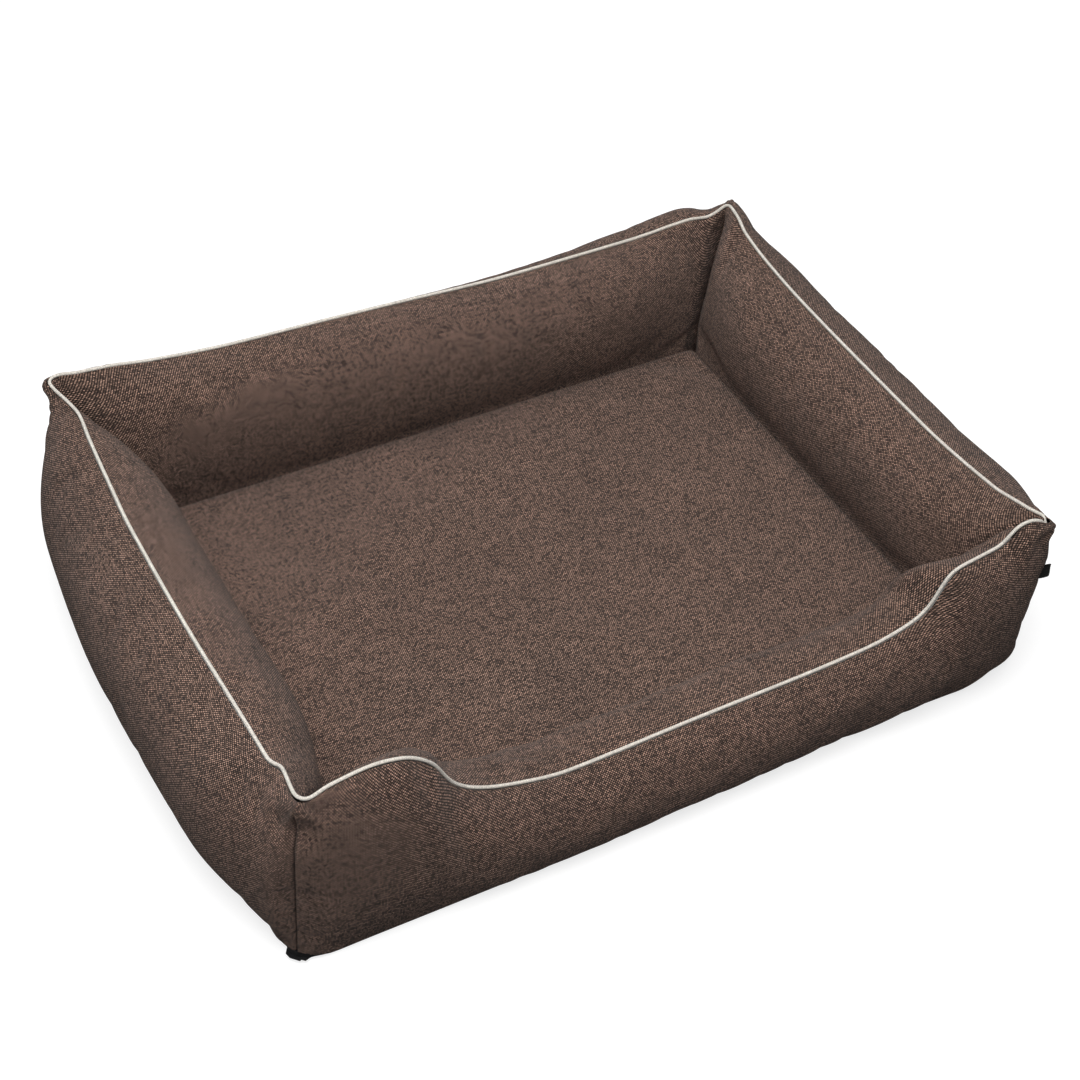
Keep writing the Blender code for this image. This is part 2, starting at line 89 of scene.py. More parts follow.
def finish_with(piece, kind, **settings):
    """Adds a modifier and applies it."""
    only(piece)
    modifier = piece.modifiers.new(kind.lower(), kind)
    for name, value in settings.items():
        setattr(modifier, name, value)
    bpy.ops.object.modifier_apply(modifier=modifier.name)
    return piece


def start_with(primitive, name=None, **settings):
    """A new primitive, alone in the selection."""
    bpy.ops.object.select_all(action="DESELECT")
    getattr(bpy.ops.mesh, f"primitive_{primitive}_add")(**settings)
    piece = bpy.context.object
    if name:
        piece.name = piece.data.name = name
    return piece


def place_in_mesh(piece):
    """Moves the object's place into its mesh, so the object sits at the origin, unturned and unscaled."""
    only(piece)
    bpy.ops.object.transform_apply(location=True, rotation=True, scale=True)
    return piece


def edit(piece, *steps):
    """Runs mesh operators in edit mode, each on the whole piece. A step is a name and its settings."""
    only(piece)
    bpy.ops.object.mode_set(mode="EDIT")
    for name, settings in steps:
        bpy.ops.mesh.select_all(action="SELECT")
        getattr(bpy.ops.mesh, name)(**settings)
    bpy.ops.object.mode_set(mode="OBJECT")
    return piece


OUTWARDS = ("normals_make_consistent", {"inside": False})


def merge(distance):
    return "remove_doubles", {"threshold": distance}


def round_edges(piece, width, degrees, segments=2):
    return finish_with(piece, "BEVEL", width=width, segments=segments, limit_method="ANGLE",
                       angle_limit=radians(degrees))


def repeat(piece, count, step):
    return finish_with(piece, "ARRAY", count=count, use_relative_offset=False, use_constant_offset=True,
                       constant_offset_displace=step)


def shade(piece, degrees):
    """Smooth shading, with a crease where faces meet at more than this angle."""
    only(piece)
    bpy.ops.object.shade_smooth_by_angle(angle=radians(degrees))


def triangles(piece):
    return sum(len(face.vertices) - 2 for face in piece.data.polygons)


# %% [markdown]
# ## Floor, light and camera
# A studio for one soft object needs very little: one wide soft light above and behind the left shoulder of
# the camera, a second one over the back, and a pale floor that runs out to the horizon. The camera stands
# where a person would who looks down into the bed from its front left corner, with a lens a little longer
# than normal. White card on a studio's floor throws a lot of light back up; matt grey doesn't, and the walls
# then darken towards their feet. The floor's paint has a Light Path switch for that: a pale glow where the
# camera looks at it, grey for the light that bounces off it. The world has the same switch, so that it stays
# white behind the bed and gives only a weak fill.

# %% Floor
FLOOR_SIZE = 60.0
FLOOR_PALE = 0.35
FLOOR_BOUNCE = 0.14
FLOOR_GLOW = 0.74
floor = start_with("plane", "studio_floor", size=FLOOR_SIZE, location=(0, 0, -0.0002))
floor_paint = bpy.data.materials.new("pale_floor")
floor_paint.use_nodes = True
floor_shader = floor_paint.node_tree.nodes["Principled BSDF"]
floor_tree = floor_paint.node_tree
seen = floor_tree.nodes.new("ShaderNodeLightPath").outputs["Is Camera Ray"]
tone = floor_tree.nodes.new("ShaderNodeMix")
tone.data_type = "RGBA"
tone.inputs["A"].default_value = (FLOOR_BOUNCE, FLOOR_BOUNCE, FLOOR_BOUNCE, 1)
tone.inputs["B"].default_value = (FLOOR_PALE, FLOOR_PALE, FLOOR_PALE, 1)
floor_tree.links.new(seen, tone.inputs["Factor"])
floor_tree.links.new(tone.outputs["Result"], floor_shader.inputs["Base Color"])
glow = floor_tree.nodes.new("ShaderNodeMath")
glow.operation = "MULTIPLY"
glow.inputs[1].default_value = FLOOR_GLOW
floor_tree.links.new(seen, glow.inputs[0])
floor_shader.inputs["Emission Color"].default_value = (1, 1, 1, 1)
floor_tree.links.new(glow.outputs[0], floor_shader.inputs["Emission Strength"])
floor_shader.inputs["Roughness"].default_value = 0.9
floor_shader.inputs["Specular IOR Level"].default_value = 0.2
floor.data.materials.append(floor_paint)
print("floor", FLOOR_SIZE, "m square")


# %% Lights
def soft_light(name, where, aim, size, power):
    """A square area light that looks at a point."""
    lamp = bpy.data.lights.new(name, "AREA")
    lamp.size = size
    lamp.energy = power
    stand = bpy.data.objects.new(name, lamp)
    stand.location = where
    stand.rotation_mode = "QUATERNION"
    stand.rotation_quaternion = (Vector(aim) - Vector(where)).to_track_quat("-Z", "Y")
    bpy.context.scene.collection.objects.link(stand)
    return stand


soft_light("key_light", (-0.95, -1.2, 3.1), (0, 0, 0.1), size=2.0, power=100)
soft_light("top_light", (0.1, 0.4, 3.4), (0, 0, 0.1), size=2.2, power=50)
world = bpy.context.scene.world or bpy.data.worlds.new("studio")
bpy.context.scene.world = world
world.use_nodes = True
sky = world.node_tree.nodes["Background"]
sky.inputs["Color"].default_value = (1.0, 1.0, 1.0, 1)
behind = world.node_tree.nodes.new("ShaderNodeLightPath").outputs["Is Camera Ray"]
fill = world.node_tree.nodes.new("ShaderNodeMapRange")
fill.inputs["To Min"].default_value = 0.30
fill.inputs["To Max"].default_value = 0.95
world.node_tree.links.new(behind, fill.inputs["Value"])
world.node_tree.links.new(fill.outputs["Result"], sky.inputs["Strength"])
bpy.context.scene.view_settings.view_transform = "Standard"
print("two soft lights and a white world")

# %% Camera
CAMERA_PLACE = Vector((-1.059, -1.817, 2.054))
AZIMUTH, ELEVATION, ROLL = radians(-30.384), radians(42.686), radians(3.036)
LENS_MM = 73.85
back = Vector((sin(AZIMUTH) * cos(ELEVATION), -cos(AZIMUTH) * cos(ELEVATION), sin(ELEVATION)))
level = (-back).cross(Vector((0, 0, 1))).normalized()
upright = level.cross(-back)
right = level * cos(ROLL) + upright * sin(ROLL)
upper = upright * cos(ROLL) - level * sin(ROLL)
camera = bpy.data.objects.new("camera", bpy.data.cameras.new("camera"))
camera.data.lens = LENS_MM
camera.matrix_world = Matrix((right, upper, back)).transposed().to_4x4()
camera.location = CAMERA_PLACE
bpy.context.scene.collection.objects.link(camera)
bpy.context.scene.camera = camera
print("camera", round(CAMERA_PLACE.length, 2), "m from the bed's middle")

# %% [markdown]
# ## Shading helpers
# A shader node group is a small machine with named inputs and outputs. The same weave is wanted on the
# walls, the mattress, the piping and the label, each at its own scale, so it is built once as a group and
# placed in each material with its own values. Writing node trees gets long, so a few helpers keep every
# formula to a line or two.


# %% Node helpers
def add_node(tree, kind, inputs=(), **settings):
    """A node with its settings and its inputs, each a value or another node's socket."""
    node = tree.nodes.new(kind)
    for name, value in settings.items():
        setattr(node, name, value)
    for key, value in dict(inputs).items():
        if isinstance(value, bpy.types.NodeSocket):
            tree.links.new(value, node.inputs[key])
        else:
            node.inputs[key].default_value = value
    return node


def stretch(tree, value, low, high, to_low, to_high):
    """Maps a range of values onto another one."""
    inputs = {"Value": value, "From Min": low, "From Max": high, "To Min": to_low, "To Max": to_high}
    return add_node(tree, "ShaderNodeMapRange", inputs).outputs[0]


def emboss(tree, shader, height, distance, strength=1.0):
    """A Bump node on the shader's Normal."""
    bump = add_node(tree, "ShaderNodeBump", {"Height": height, "Distance": distance, "Strength": strength})
    tree.links.new(bump.outputs[0], shader.inputs["Normal"])


def calculate(tree, operation, *values):
    """One Math node. Its inputs are numbers or sockets."""
    return add_node(tree, "ShaderNodeMath", enumerate(values), operation=operation).outputs[0]


def blend_colours(tree, share, first, second, how="MIX"):
    """One Mix node for colours."""
    inputs = {0: share, 6: first, 7: second}
    node = add_node(tree, "ShaderNodeMix", inputs, data_type="RGBA", blend_type=how)
    return node.outputs[2]


def vector(tree, operation, first, second):
    """One Vector Math node. Scaling takes a number, the others a vector."""
    key = 3 if operation == "SCALE" else 1
    return add_node(tree, "ShaderNodeVectorMath", {0: first, key: second}, operation=operation).outputs[0]


def new_group(name, inputs, outputs):
    """An empty shader node group. inputs are (name, socket type, default)."""
    tree = bpy.data.node_groups.new(name, "ShaderNodeTree")
    for socket_name, kind, value in inputs:
        socket = tree.interface.new_socket(name=socket_name, in_out="INPUT", socket_type=kind)
        if value is not None:
            socket.default_value = value
    for socket_name, kind in outputs:
        tree.interface.new_socket(name=socket_name, in_out="OUTPUT", socket_type=kind)
    return tree, tree.nodes.new("NodeGroupInput").outputs, tree.nodes.new("NodeGroupOutput").inputs


def use_group(tree, group, **inputs):
    """Places a group in a material. Input names have spaces where these have underscores."""
    node = tree.nodes.new("ShaderNodeGroup")
    node.node_tree = group
    for key, value in inputs.items():
        socket = node.inputs[key.replace("_", " ")]
        if isinstance(value, bpy.types.NodeSocket):
            tree.links.new(value, socket)
        else:
            socket.default_value = value
    return node.outputs


# %% [markdown]
# ## The hopsack weave
# Hopsack is a plain weave of thick, slightly uneven yarns: every other crossing shows the warp, and the
# crossings between show the weft. Here a dark yarn crosses a paler one, which gives the cloth its fine
# speckle. The group works on the cloth's own UV map in metres, so the yarns follow the cut of each panel.
# Each yarn is a rounded ridge that dives under its neighbours, so the height is a sine across the yarn times
# a softer sine along it. A little noise bends the grid and makes slubs, because real yarns are never even.

# %% Weave group
weave_group, given, made = new_group(
    "hopsack weave",
    [
        ("Place", "NodeSocketVector", None),
        ("Yarn Width", "NodeSocketFloat", 0.00125),
        ("Unevenness", "NodeSocketFloat", 0.25),
    ],
    [
        ("Height", "NodeSocketFloat"),
        ("Weft", "NodeSocketFloat"),
        ("Slub", "NodeSocketFloat"),
        ("Speckle", "NodeSocketFloat"),
    ],
)


def build_weave(tree, given, made):
    grid = vector(tree, "SCALE", given["Place"], calculate(tree, "DIVIDE", 1.0, given["Yarn Width"]))
    noise = {"Vector": grid, "Scale": 0.11, "Detail": 2.0, "Roughness": 0.5}
    wander = add_node(tree, "ShaderNodeTexNoise", noise).outputs["Color"]
    centred = vector(tree, "SUBTRACT", wander, (0.5, 0.5, 0.5))
    bent = vector(tree, "SCALE", centred, calculate(tree, "MULTIPLY", given["Unevenness"], 6.0))
    parts = add_node(tree, "ShaderNodeSeparateXYZ", {0: vector(tree, "ADD", grid, bent)}).outputs
    crowns, cells = [], []
    for axis in (0, 1):
        cells.append(calculate(tree, "FLOOR", parts[axis]))
        share = calculate(tree, "MULTIPLY", calculate(tree, "FRACT", parts[axis]), pi)
        crowns.append(calculate(tree, "SINE", share))
    parity = calculate(tree, "FLOORED_MODULO", calculate(tree, "ADD", *cells), 2.0)
    heights, slubs = [], []
    for across, lengthways in (crowns, reversed(crowns)):
        round_yarn = calculate(tree, "POWER", across, 0.6)
        dive = calculate(tree, "MULTIPLY_ADD", lengthways, 0.5, 0.5)
        heights.append(calculate(tree, "MULTIPLY", round_yarn, dive))
    for long_way in ((1.0, 0.035, 1.0), (0.035, 1.0, 1.0)):
        noise = {"Vector": vector(tree, "MULTIPLY", grid, long_way), "Scale": 0.9, "Detail": 1.0}
        slubs.append(add_node(tree, "ShaderNodeTexNoise", noise).outputs[0])
    for name, (warp, weft) in (("Height", heights), ("Slub", slubs)):
        mixed = add_node(tree, "ShaderNodeMix", {0: parity, 2: warp, 3: weft}, data_type="FLOAT")
        tree.links.new(mixed.outputs[0], made[name])
    tree.links.new(parity, made["Weft"])
    cell = add_node(tree, "ShaderNodeCombineXYZ", {0: cells[0], 1: cells[1]}).outputs[0]
    speckle = add_node(tree, "ShaderNodeTexWhiteNoise", {"Vector": cell}, noise_dimensions="2D")
    tree.links.new(speckle.outputs["Value"], made["Speckle"])


build_weave(weave_group, given, made)
print("weave group with", len(weave_group.nodes), "nodes")

# %% [markdown]
# ## Use and handling
# Even a new cushion isn't one colour: the nap lies differently from place to place, the dye takes a little
# unevenly, and a few loose fibres catch the light. This second group gives two masks from the place on the
# object: a broad soft one for the nap and the dye, and a fine one for fibres. It is used by every cloth here.

# %% Nap group
nap_group, given, made = new_group(
    "nap and fibres",
    [
        ("Place", "NodeSocketVector", None),
        ("Patch Size", "NodeSocketFloat", 0.12),
        ("Fibre Size", "NodeSocketFloat", 0.0011),
    ],
    [("Nap", "NodeSocketFloat"), ("Fibres", "NodeSocketFloat")],
)


def build_nap(tree, given, made):
    broad = calculate(tree, "DIVIDE", 1.0, given["Patch Size"])
    fine = calculate(tree, "DIVIDE", 1.0, given["Fibre Size"])
    patches = {"Vector": given["Place"], "Scale": broad, "Detail": 4.0, "Roughness": 0.6}
    fibres = {"Vector": given["Place"], "Scale": fine, "Detail": 3.0, "Roughness": 0.7}
    tree.links.new(add_node(tree, "ShaderNodeTexNoise", patches).outputs[0], made["Nap"])
    tree.links.new(add_node(tree, "ShaderNodeTexNoise", fibres).outputs[0], made["Fibres"])


build_nap(nap_group, given, made)
print("nap group with", len(nap_group.nodes), "nodes")


# %% [markdown]
# ## The finishes
# Cloth materials share one recipe: weave height drives a Bump node, the weft mask mixes two yarn colours,
# painted shade darkens the low gaps between the yarns, and the nap shifts the whole tone by a few per cent.
# A soft sheen, set on the shader itself, gives the pale bloom that brushed cloth shows at grazing angles.


# %% Cloth recipe
def new_material(name, roughness, metallic=0.0):
    material = bpy.data.materials.new(name)
    material.use_nodes = True
    shader = material.node_tree.nodes["Principled BSDF"]
    shader.inputs["Roughness"].default_value = roughness
    shader.inputs["Metallic"].default_value = metallic
    return material, material.node_tree, shader


def woven(name, warp, weft, gap, yarn, relief, roughness=0.9, sheen=0.25, unevenness=0.2, nap=0.22,
          speckle=0.3):
    """A woven cloth of two yarn colours, with painted shade in the gaps between the yarns, on the piece's UV
    map in metres.
    """
    material, tree, shader = new_material(name, roughness)
    uv = add_node(tree, "ShaderNodeTexCoord").outputs["UV"]
    place = add_node(tree, "ShaderNodeTexCoord").outputs["Object"]
    weave = use_group(tree, weave_group, Place=uv, Yarn_Width=yarn, Unevenness=unevenness)
    soft = use_group(tree, nap_group, Place=place)
    yarns = blend_colours(tree, weave["Weft"], (*warp, 1), (*weft, 1))
    # The gap colour is painted shade: it darkens the low crevices between the yarns, where the weave height
    # is low.
    colour = blend_colours(tree, stretch(tree, weave["Height"], 0.2, 0.8, 0.0, 1.0), (*gap, 1), yarns)
    slub = stretch(tree, weave["Slub"], 0.3, 0.7, 0.7, 1.3)
    patch = stretch(tree, soft["Nap"], 0.3, 0.7, 1 - nap, 1 + nap)
    fibre = stretch(tree, soft["Fibres"], 0.3, 0.7, 0.88, 1.12)
    spots = calculate(tree, "MULTIPLY_ADD", weave["Speckle"], 2 * speckle, 1 - speckle)
    tone = calculate(tree, "MULTIPLY", calculate(tree, "MULTIPLY", slub, patch), fibre)
    tone = calculate(tree, "MULTIPLY", tone, spots)
    tree.links.new(vector(tree, "SCALE", colour, tone), shader.inputs["Base Color"])
    rough = stretch(tree, soft["Fibres"], 0.3, 0.7, roughness - 0.08, 1.0)
    tree.links.new(rough, shader.inputs["Roughness"])
    emboss(tree, shader, calculate(tree, "MULTIPLY_ADD", soft["Fibres"], 0.35, weave["Height"]), relief, 0.9)
    shader.inputs["Sheen Weight"].default_value = sheen
    shader.inputs["Sheen Roughness"].default_value = 0.5
    shader.inputs["Specular IOR Level"].default_value = 0.25
    return material


# %% Cloths
YARN = 0.0017
# The third colour of each cloth is its painted shade for the gaps between the yarns.
finishes = {
    "cover": woven(
        "brown_hopsack", (0.018, 0.010, 0.0075), (0.30, 0.188, 0.142), (0.003, 0.002, 0.0015), YARN, 0.0007,
        sheen=0.06, unevenness=0.02, nap=0.10, speckle=0.75,
    ),
    "piping": woven(
        "ivory_piping", (0.62, 0.58, 0.52), (0.70, 0.67, 0.61), (0.42, 0.38, 0.33), 0.0007, 0.00015,
        roughness=0.75, sheen=0.1, nap=0.04,
    ),
    "base": woven(
        "black_base_cloth", (0.006, 0.006, 0.007), (0.010, 0.010, 0.011), (0.002, 0.002, 0.002),
        0.0009, 0.0002, sheen=0.02,
    ),
    "label": woven(
        "black_ribbon", (0.004, 0.004, 0.004), (0.007, 0.007, 0.007), (0.002, 0.002, 0.002), 0.0004, 0.00008,
        roughness=0.6, sheen=0.02,
    ),
    "thread": woven(
        "brown_thread", (0.09, 0.06, 0.045), (0.12, 0.08, 0.06), (0.02, 0.012, 0.01), 0.0003, 0.00005, nap=0.1
    ),
}
print(len(finishes), "woven finishes")

# %% [markdown]
# ## Stuffing, foam, rubber, nylon and metal
# The walls hold loose polyester fibre, which is a cloud of fine white curls: stretched noise at two scales
# does for it. The mattress holds cut foam, whose open cells are a fine Voronoi pattern. The dots under the
# base are soft black rubber, the zip's coil is nylon, and its slider is zinc with worn dark paint.


# %% Fibre and foam
def speckled(name, pale, dark, cell, relief, roughness, texture="ShaderNodeTexVoronoi"):
    """A finish of fine cells, read from the place on the object."""
    material, tree, shader = new_material(name, roughness)
    place = add_node(tree, "ShaderNodeTexCoord").outputs["Object"]
    cells = add_node(tree, texture, {"Vector": place, "Scale": 1 / cell})
    soft = use_group(tree, nap_group, Place=place, Fibre_Size=cell * 0.7)
    mask = calculate(tree, "MULTIPLY", cells.outputs[0], calculate(tree, "ADD", soft["Fibres"], 0.5))
    tree.links.new(blend_colours(tree, mask, (*dark, 1), (*pale, 1)), shader.inputs["Base Color"])
    rough = stretch(tree, soft["Nap"], 0.0, 1.0, roughness - 0.1, min(roughness + 0.1, 1.0))
    tree.links.new(rough, shader.inputs["Roughness"])
    emboss(tree, shader, mask, relief, 0.8)
    return material


finishes["filling"] = speckled("white_fibre", (0.88, 0.88, 0.86), (0.62, 0.62, 0.60), 0.004, 0.002, 0.95,
                               "ShaderNodeTexNoise")
finishes["foam"] = speckled("cream_foam", (0.84, 0.79, 0.62), (0.60, 0.54, 0.38), 0.0016, 0.0006, 0.9)
finishes["rubber"] = speckled(
    "black_rubber", (0.020, 0.020, 0.020), (0.008, 0.008, 0.008), 0.003, 0.0001, 0.6
)
finishes["nylon"] = speckled("brown_nylon", (0.060, 0.040, 0.032), (0.035, 0.022, 0.018), 0.002, 0.0001, 0.42)


# %% Painted metal
def worn_metal():
    """Dark paint on zinc, rubbed bright along its edges."""
    material, tree, shader = new_material("dark_zip_metal", 0.35)
    place = add_node(tree, "ShaderNodeTexCoord").outputs["Object"]
    soft = use_group(tree, nap_group, Place=place, Patch_Size=0.004, Fibre_Size=0.0004)
    edges = add_node(tree, "ShaderNodeNewGeometry").outputs["Pointiness"]
    patch = calculate(tree, "GREATER_THAN", soft["Nap"], 0.42)
    wear = calculate(tree, "MULTIPLY", stretch(tree, edges, 0.52, 0.6, 0.0, 1.0), patch)
    colour = blend_colours(tree, wear, (0.045, 0.040, 0.038, 1), (0.42, 0.40, 0.37, 1))
    tree.links.new(colour, shader.inputs["Base Color"])
    tree.links.new(calculate(tree, "MAXIMUM", wear, 0.35), shader.inputs["Metallic"])
    tree.links.new(stretch(tree, soft["Fibres"], 0.0, 1.0, 0.26, 0.46), shader.inputs["Roughness"])
    emboss(tree, shader, soft["Fibres"], 0.00003)
    return material


def zip_cloth():
    """Herringbone tape, read from the place on the object: fine slanting ribs along X."""
    material, tree, shader = new_material("brown_zip_tape", 0.7)
    place = add_node(tree, "ShaderNodeTexCoord").outputs["Object"]
    parts = add_node(tree, "ShaderNodeSeparateXYZ", {0: place}).outputs
    slant = calculate(tree, "PINGPONG", calculate(tree, "DIVIDE", parts[2], 0.0022), 1.0)
    ribs = calculate(tree, "ADD", calculate(tree, "DIVIDE", parts[0], 0.0009), slant)
    wave = calculate(tree, "SINE", calculate(tree, "MULTIPLY", ribs, 2 * pi))
    mask = calculate(tree, "MULTIPLY_ADD", wave, 0.5, 0.5)
    colour = blend_colours(tree, mask, (0.018, 0.011, 0.009, 1), (0.050, 0.031, 0.025, 1))
    tree.links.new(colour, shader.inputs["Base Color"])
    tree.links.new(calculate(tree, "MULTIPLY_ADD", mask, -0.15, 0.8), shader.inputs["Roughness"])
    emboss(tree, shader, mask, 0.00012)
    return material


finishes["zip_metal"] = worn_metal()
finishes["zip"] = zip_cloth()
print(len(finishes), "finishes in all")

# %% [markdown]
# ## The shape of the rim
# Each wall is drawn in its own frame: a place along it, how far out from the straight line between its two
# corner tips, and how high above the floor. The piped seam is the line that the eye follows, so it comes
# first: a few points for each wall, joined by a smooth curve that never swings past them. It drops
# into the entrance at the front, wanders a little on the others, and makes a small ear at every corner,
# where the cloth is pinched and the stuffing pulls back.


# %% Smooth lines
def smooth(share):
    share = np.clip(share, 0.0, 1.0)
    return share * share * (3 - 2 * share)


def line_through(points, places):
    """Values at some places of a smooth line through (place, value) points, with no overshoot."""
    x, y = np.array(points, float).T
    steps = np.diff(x)
    slopes = np.diff(y) / steps
    before, after = slopes[:-1], slopes[1:]
    rising = before * after > 0
    middle = np.where(rising, 2 * before * after / np.where(rising, before + after, 1.0), 0.0)
    tangents = np.concatenate([slopes[:1], middle, slopes[-1:]])
    index = np.clip(np.searchsorted(x, places, side="right") - 1, 0, len(steps) - 1)
    step = steps[index]
    t = np.clip((places - x[index]) / step, 0, 1)
    rise = y[index + 1] - y[index]
    bend = (1 - t) * tangents[index] * step - t * tangents[index + 1] * step + (2 * t - 1) * rise
    return y[index] + rise * t + t * (1 - t) * bend


# %% The walls, as (along, out, up) points of the piped seam
BASE_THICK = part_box("base_panel")[1].z
NEST_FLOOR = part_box("mattress_top_panel")[1].z
NEST_HALF_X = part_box("mattress_top_panel")[1].x + 0.001
NEST_HALF_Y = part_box("mattress_top_panel")[1].y + 0.001
NEST_INSET = 0.072
HALF_LENGTH = NEST_HALF_X + NEST_INSET
HALF_DEPTH = NEST_HALF_Y + NEST_INSET
TIP_UP = {"front_left": 0.259, "front_right": 0.261, "back_right": 0.256, "back_left": 0.262}
TIP_LIP = {"front_left": 0.003, "front_right": 0.003, "back_right": 0.011, "back_left": 0.004}
TIP_NOTCH = {"front_left": 0.006, "front_right": 0.002, "back_right": 0.012, "back_left": 0.012}
TIP_SHIFT = {
    "front_left": (0.002, -0.004, 0.0),
    "front_right": (0.003, -0.004, 0.002),
    "back_right": (0.009, -0.003, 0.0),
    "back_left": (-0.005, 0.014, 0.001),
}
TIP_FOOT = {"front_left": 0.014, "front_right": 0.032, "back_right": 0.006, "back_left": 0.006}
TIP_FOOT_RUN = {"front_left": 0.05, "front_right": 0.10, "back_right": 0.05, "back_left": 0.05}
WALLS = {
    "front": {
        "half": HALF_LENGTH,
        "reach": HALF_DEPTH,
        "quarter": 0,
        "tips": ("front_left", "front_right"),
        "low_share": 0.22,
        "shoulder": [
            (-0.440, -0.045, -0.012), (-0.350, -0.045, -0.010), (-0.280, -0.070, 0.002),
            (-0.200, -0.084, 0.006), (0.220, -0.084, 0.006), (0.330, -0.070, 0.002), (0.400, -0.055, -0.004),
            (0.450, -0.045, -0.008),
        ],
        "stuffing": [
            (-0.500, 0.018, -0.010, 0.020, 0.022), (-0.400, 0.042, -0.008, 0.044, 0.021),
            (-0.200, 0.048, -0.006, 0.050, 0.021), (0.050, 0.048, -0.005, 0.048, 0.010),
            (0.250, 0.048, -0.005, 0.042, 0.003), (0.400, 0.048, -0.006, 0.044, 0.005),
            (0.500, 0.010, -0.004, 0.006, 0.010),
        ],
        "seam": [
            (-0.484, -0.001, 0.255), (-0.463, -0.002, 0.2585), (-0.409, -0.004, 0.263),
            (-0.374, -0.004, 0.257), (-0.337, -0.005, 0.230), (-0.312, -0.006, 0.185),
            (-0.287, -0.006, 0.163), (-0.234, -0.008, 0.139), (-0.155, -0.008, 0.1245),
            (0.006, -0.008, 0.130), (0.175, -0.008, 0.1345), (0.262, -0.008, 0.140), (0.318, -0.006, 0.157),
            (0.343, -0.005, 0.1765), (0.364, -0.004, 0.221), (0.377, -0.004, 0.229), (0.407, -0.004, 0.235),
            (0.436, -0.003, 0.243), (0.457, -0.001, 0.268), (0.470, 0.0, 0.272), (0.488, 0.0, 0.264),
        ],
    },
    "right": {
        "half": HALF_DEPTH,
        "reach": HALF_LENGTH,
        "quarter": 1,
        "tips": ("front_right", "back_right"),
        "low_share": 0.22,
        "shoulder": [(-0.380, -0.076, 0.002), (0.380, -0.076, 0.002)],
        "stuffing": [
            (-0.380, 0.010, -0.004, 0.006, 0.010), (-0.335, 0.052, 0.022, 0.012, 0.016),
            (-0.220, 0.112, 0.008, 0.080, 0.014), (0.000, 0.114, 0.000, 0.088, 0.010),
            (0.220, 0.104, -0.004, 0.086, 0.008), (0.330, 0.062, 0.004, 0.045, 0.008),
            (0.380, 0.026, 0.012, 0.018, 0.008),
        ],
        "seam": [
            (-0.334, 0.0, 0.249), (-0.280, -0.003, 0.238), (-0.136, -0.006, 0.231), (0.048, -0.006, 0.233),
            (0.158, -0.005, 0.235), (0.250, -0.004, 0.242), (0.309, -0.002, 0.251), (0.340, 0.001, 0.262),
        ],
    },
    "back": {
        "half": HALF_LENGTH,
        "reach": HALF_DEPTH,
        "quarter": 2,
        "tips": ("back_right", "back_left"),
        "low_share": 0.22,
        "shoulder": [(-0.500, -0.072, 0.000), (0.500, -0.072, 0.000)],
        "stuffing": [
            (-0.500, 0.026, 0.012, 0.018, 0.008), (-0.420, 0.094, 0.034, 0.044, 0.008),
            (-0.220, 0.072, 0.016, 0.047, 0.008), (0.060, 0.057, 0.000, 0.047, 0.008),
            (0.260, 0.050, -0.004, 0.047, 0.008), (0.420, 0.056, 0.008, 0.040, 0.008),
            (0.500, 0.010, -0.006, 0.014, 0.008),
        ],
        "seam": [
            (-0.488, 0.0, 0.246), (-0.474, 0.002, 0.238), (-0.450, 0.0, 0.243), (-0.351, 0.0, 0.237),
            (-0.160, 0.0, 0.2355), (0.026, 0.0, 0.244), (0.144, 0.0, 0.249), (0.258, 0.0, 0.253),
            (0.368, 0.002, 0.262), (0.420, 0.006, 0.268), (0.470, 0.008, 0.270),
        ],
    },
    "left": {
        "half": HALF_DEPTH,
        "reach": HALF_LENGTH,
        "quarter": 3,
        "tips": ("back_left", "front_left"),
        "low_share": 0.15,
        "shoulder": [(-0.380, -0.090, 0.012), (0.380, -0.090, 0.012)],
        "stuffing": [
            (-0.380, 0.010, -0.006, 0.014, 0.008), (-0.250, 0.074, -0.010, 0.084, 0.008),
            (0.000, 0.088, -0.010, 0.124, 0.008), (0.220, 0.080, -0.010, 0.112, 0.010),
            (0.320, 0.045, -0.010, 0.062, 0.016), (0.380, 0.018, -0.010, 0.020, 0.022),
        ],
        "seam": [
            (-0.366, -0.010, 0.257), (-0.350, -0.013, 0.257), (-0.332, -0.014, 0.258),
            (-0.283, -0.011, 0.252), (-0.204, -0.007, 0.244), (-0.110, -0.002, 0.241), (0.060, 0.0, 0.241),
            (0.275, -0.003, 0.242), (0.303, -0.003, 0.243), (0.318, -0.007, 0.245), (0.331, -0.010, 0.249),
            (0.345, -0.008, 0.251), (0.362, -0.004, 0.254),
        ],
    },
}

# %% Sections of a wall
EAR_RUN = 0.045
EAR_ROUND = 0.014
FOOT_ROUND = 0.034
PIPING_RADIUS = 0.0022
BELLY_RUN = 0.20
BELLY_LOW = (-0.096, 0.57)
CREASE_RUN = 0.024
CREASE_DEPTH = 0.020
SAMPLES = 72


def rounded(distance, radius):
    """How far a corner of this radius pulls a wall in, by the distance from the corner's 45 degree plane."""
    inside = np.clip(distance, 0.0, radius)
    return -radius + (inside + np.sqrt(2 * radius**2 - inside**2)) / 2


def piped_seam(wall, along):
    """(out, up) of the middle of the piping."""
    ends = [(-wall["half"], 0.0, TIP_UP[wall["tips"][0]])], [(wall["half"], 0.0, TIP_UP[wall["tips"][1]])]
    points = ends[0] + wall["seam"] + ends[1]
    out = line_through([(place, out) for place, out, up in points], along)
    up = line_through([(place, up) for place, out, up in points], along)
    return out, up


def by_tip(wall, along, table):
    """The value that a table holds for the tip at this end of the wall."""
    return np.where(along < 0, *(table[tip] for tip in wall["tips"]))


def bezier(start, first, second, end):
    """A cubic Bezier curve at SAMPLES places, for each column of its four control values."""
    t = np.linspace(0, 1, SAMPLES)[:, None]
    weights = [(1 - t) ** 3, 3 * t * (1 - t) ** 2, 3 * t * t * (1 - t), t**3]
    return sum(weight * value for weight, value in zip(weights, (start, first, second, end)))


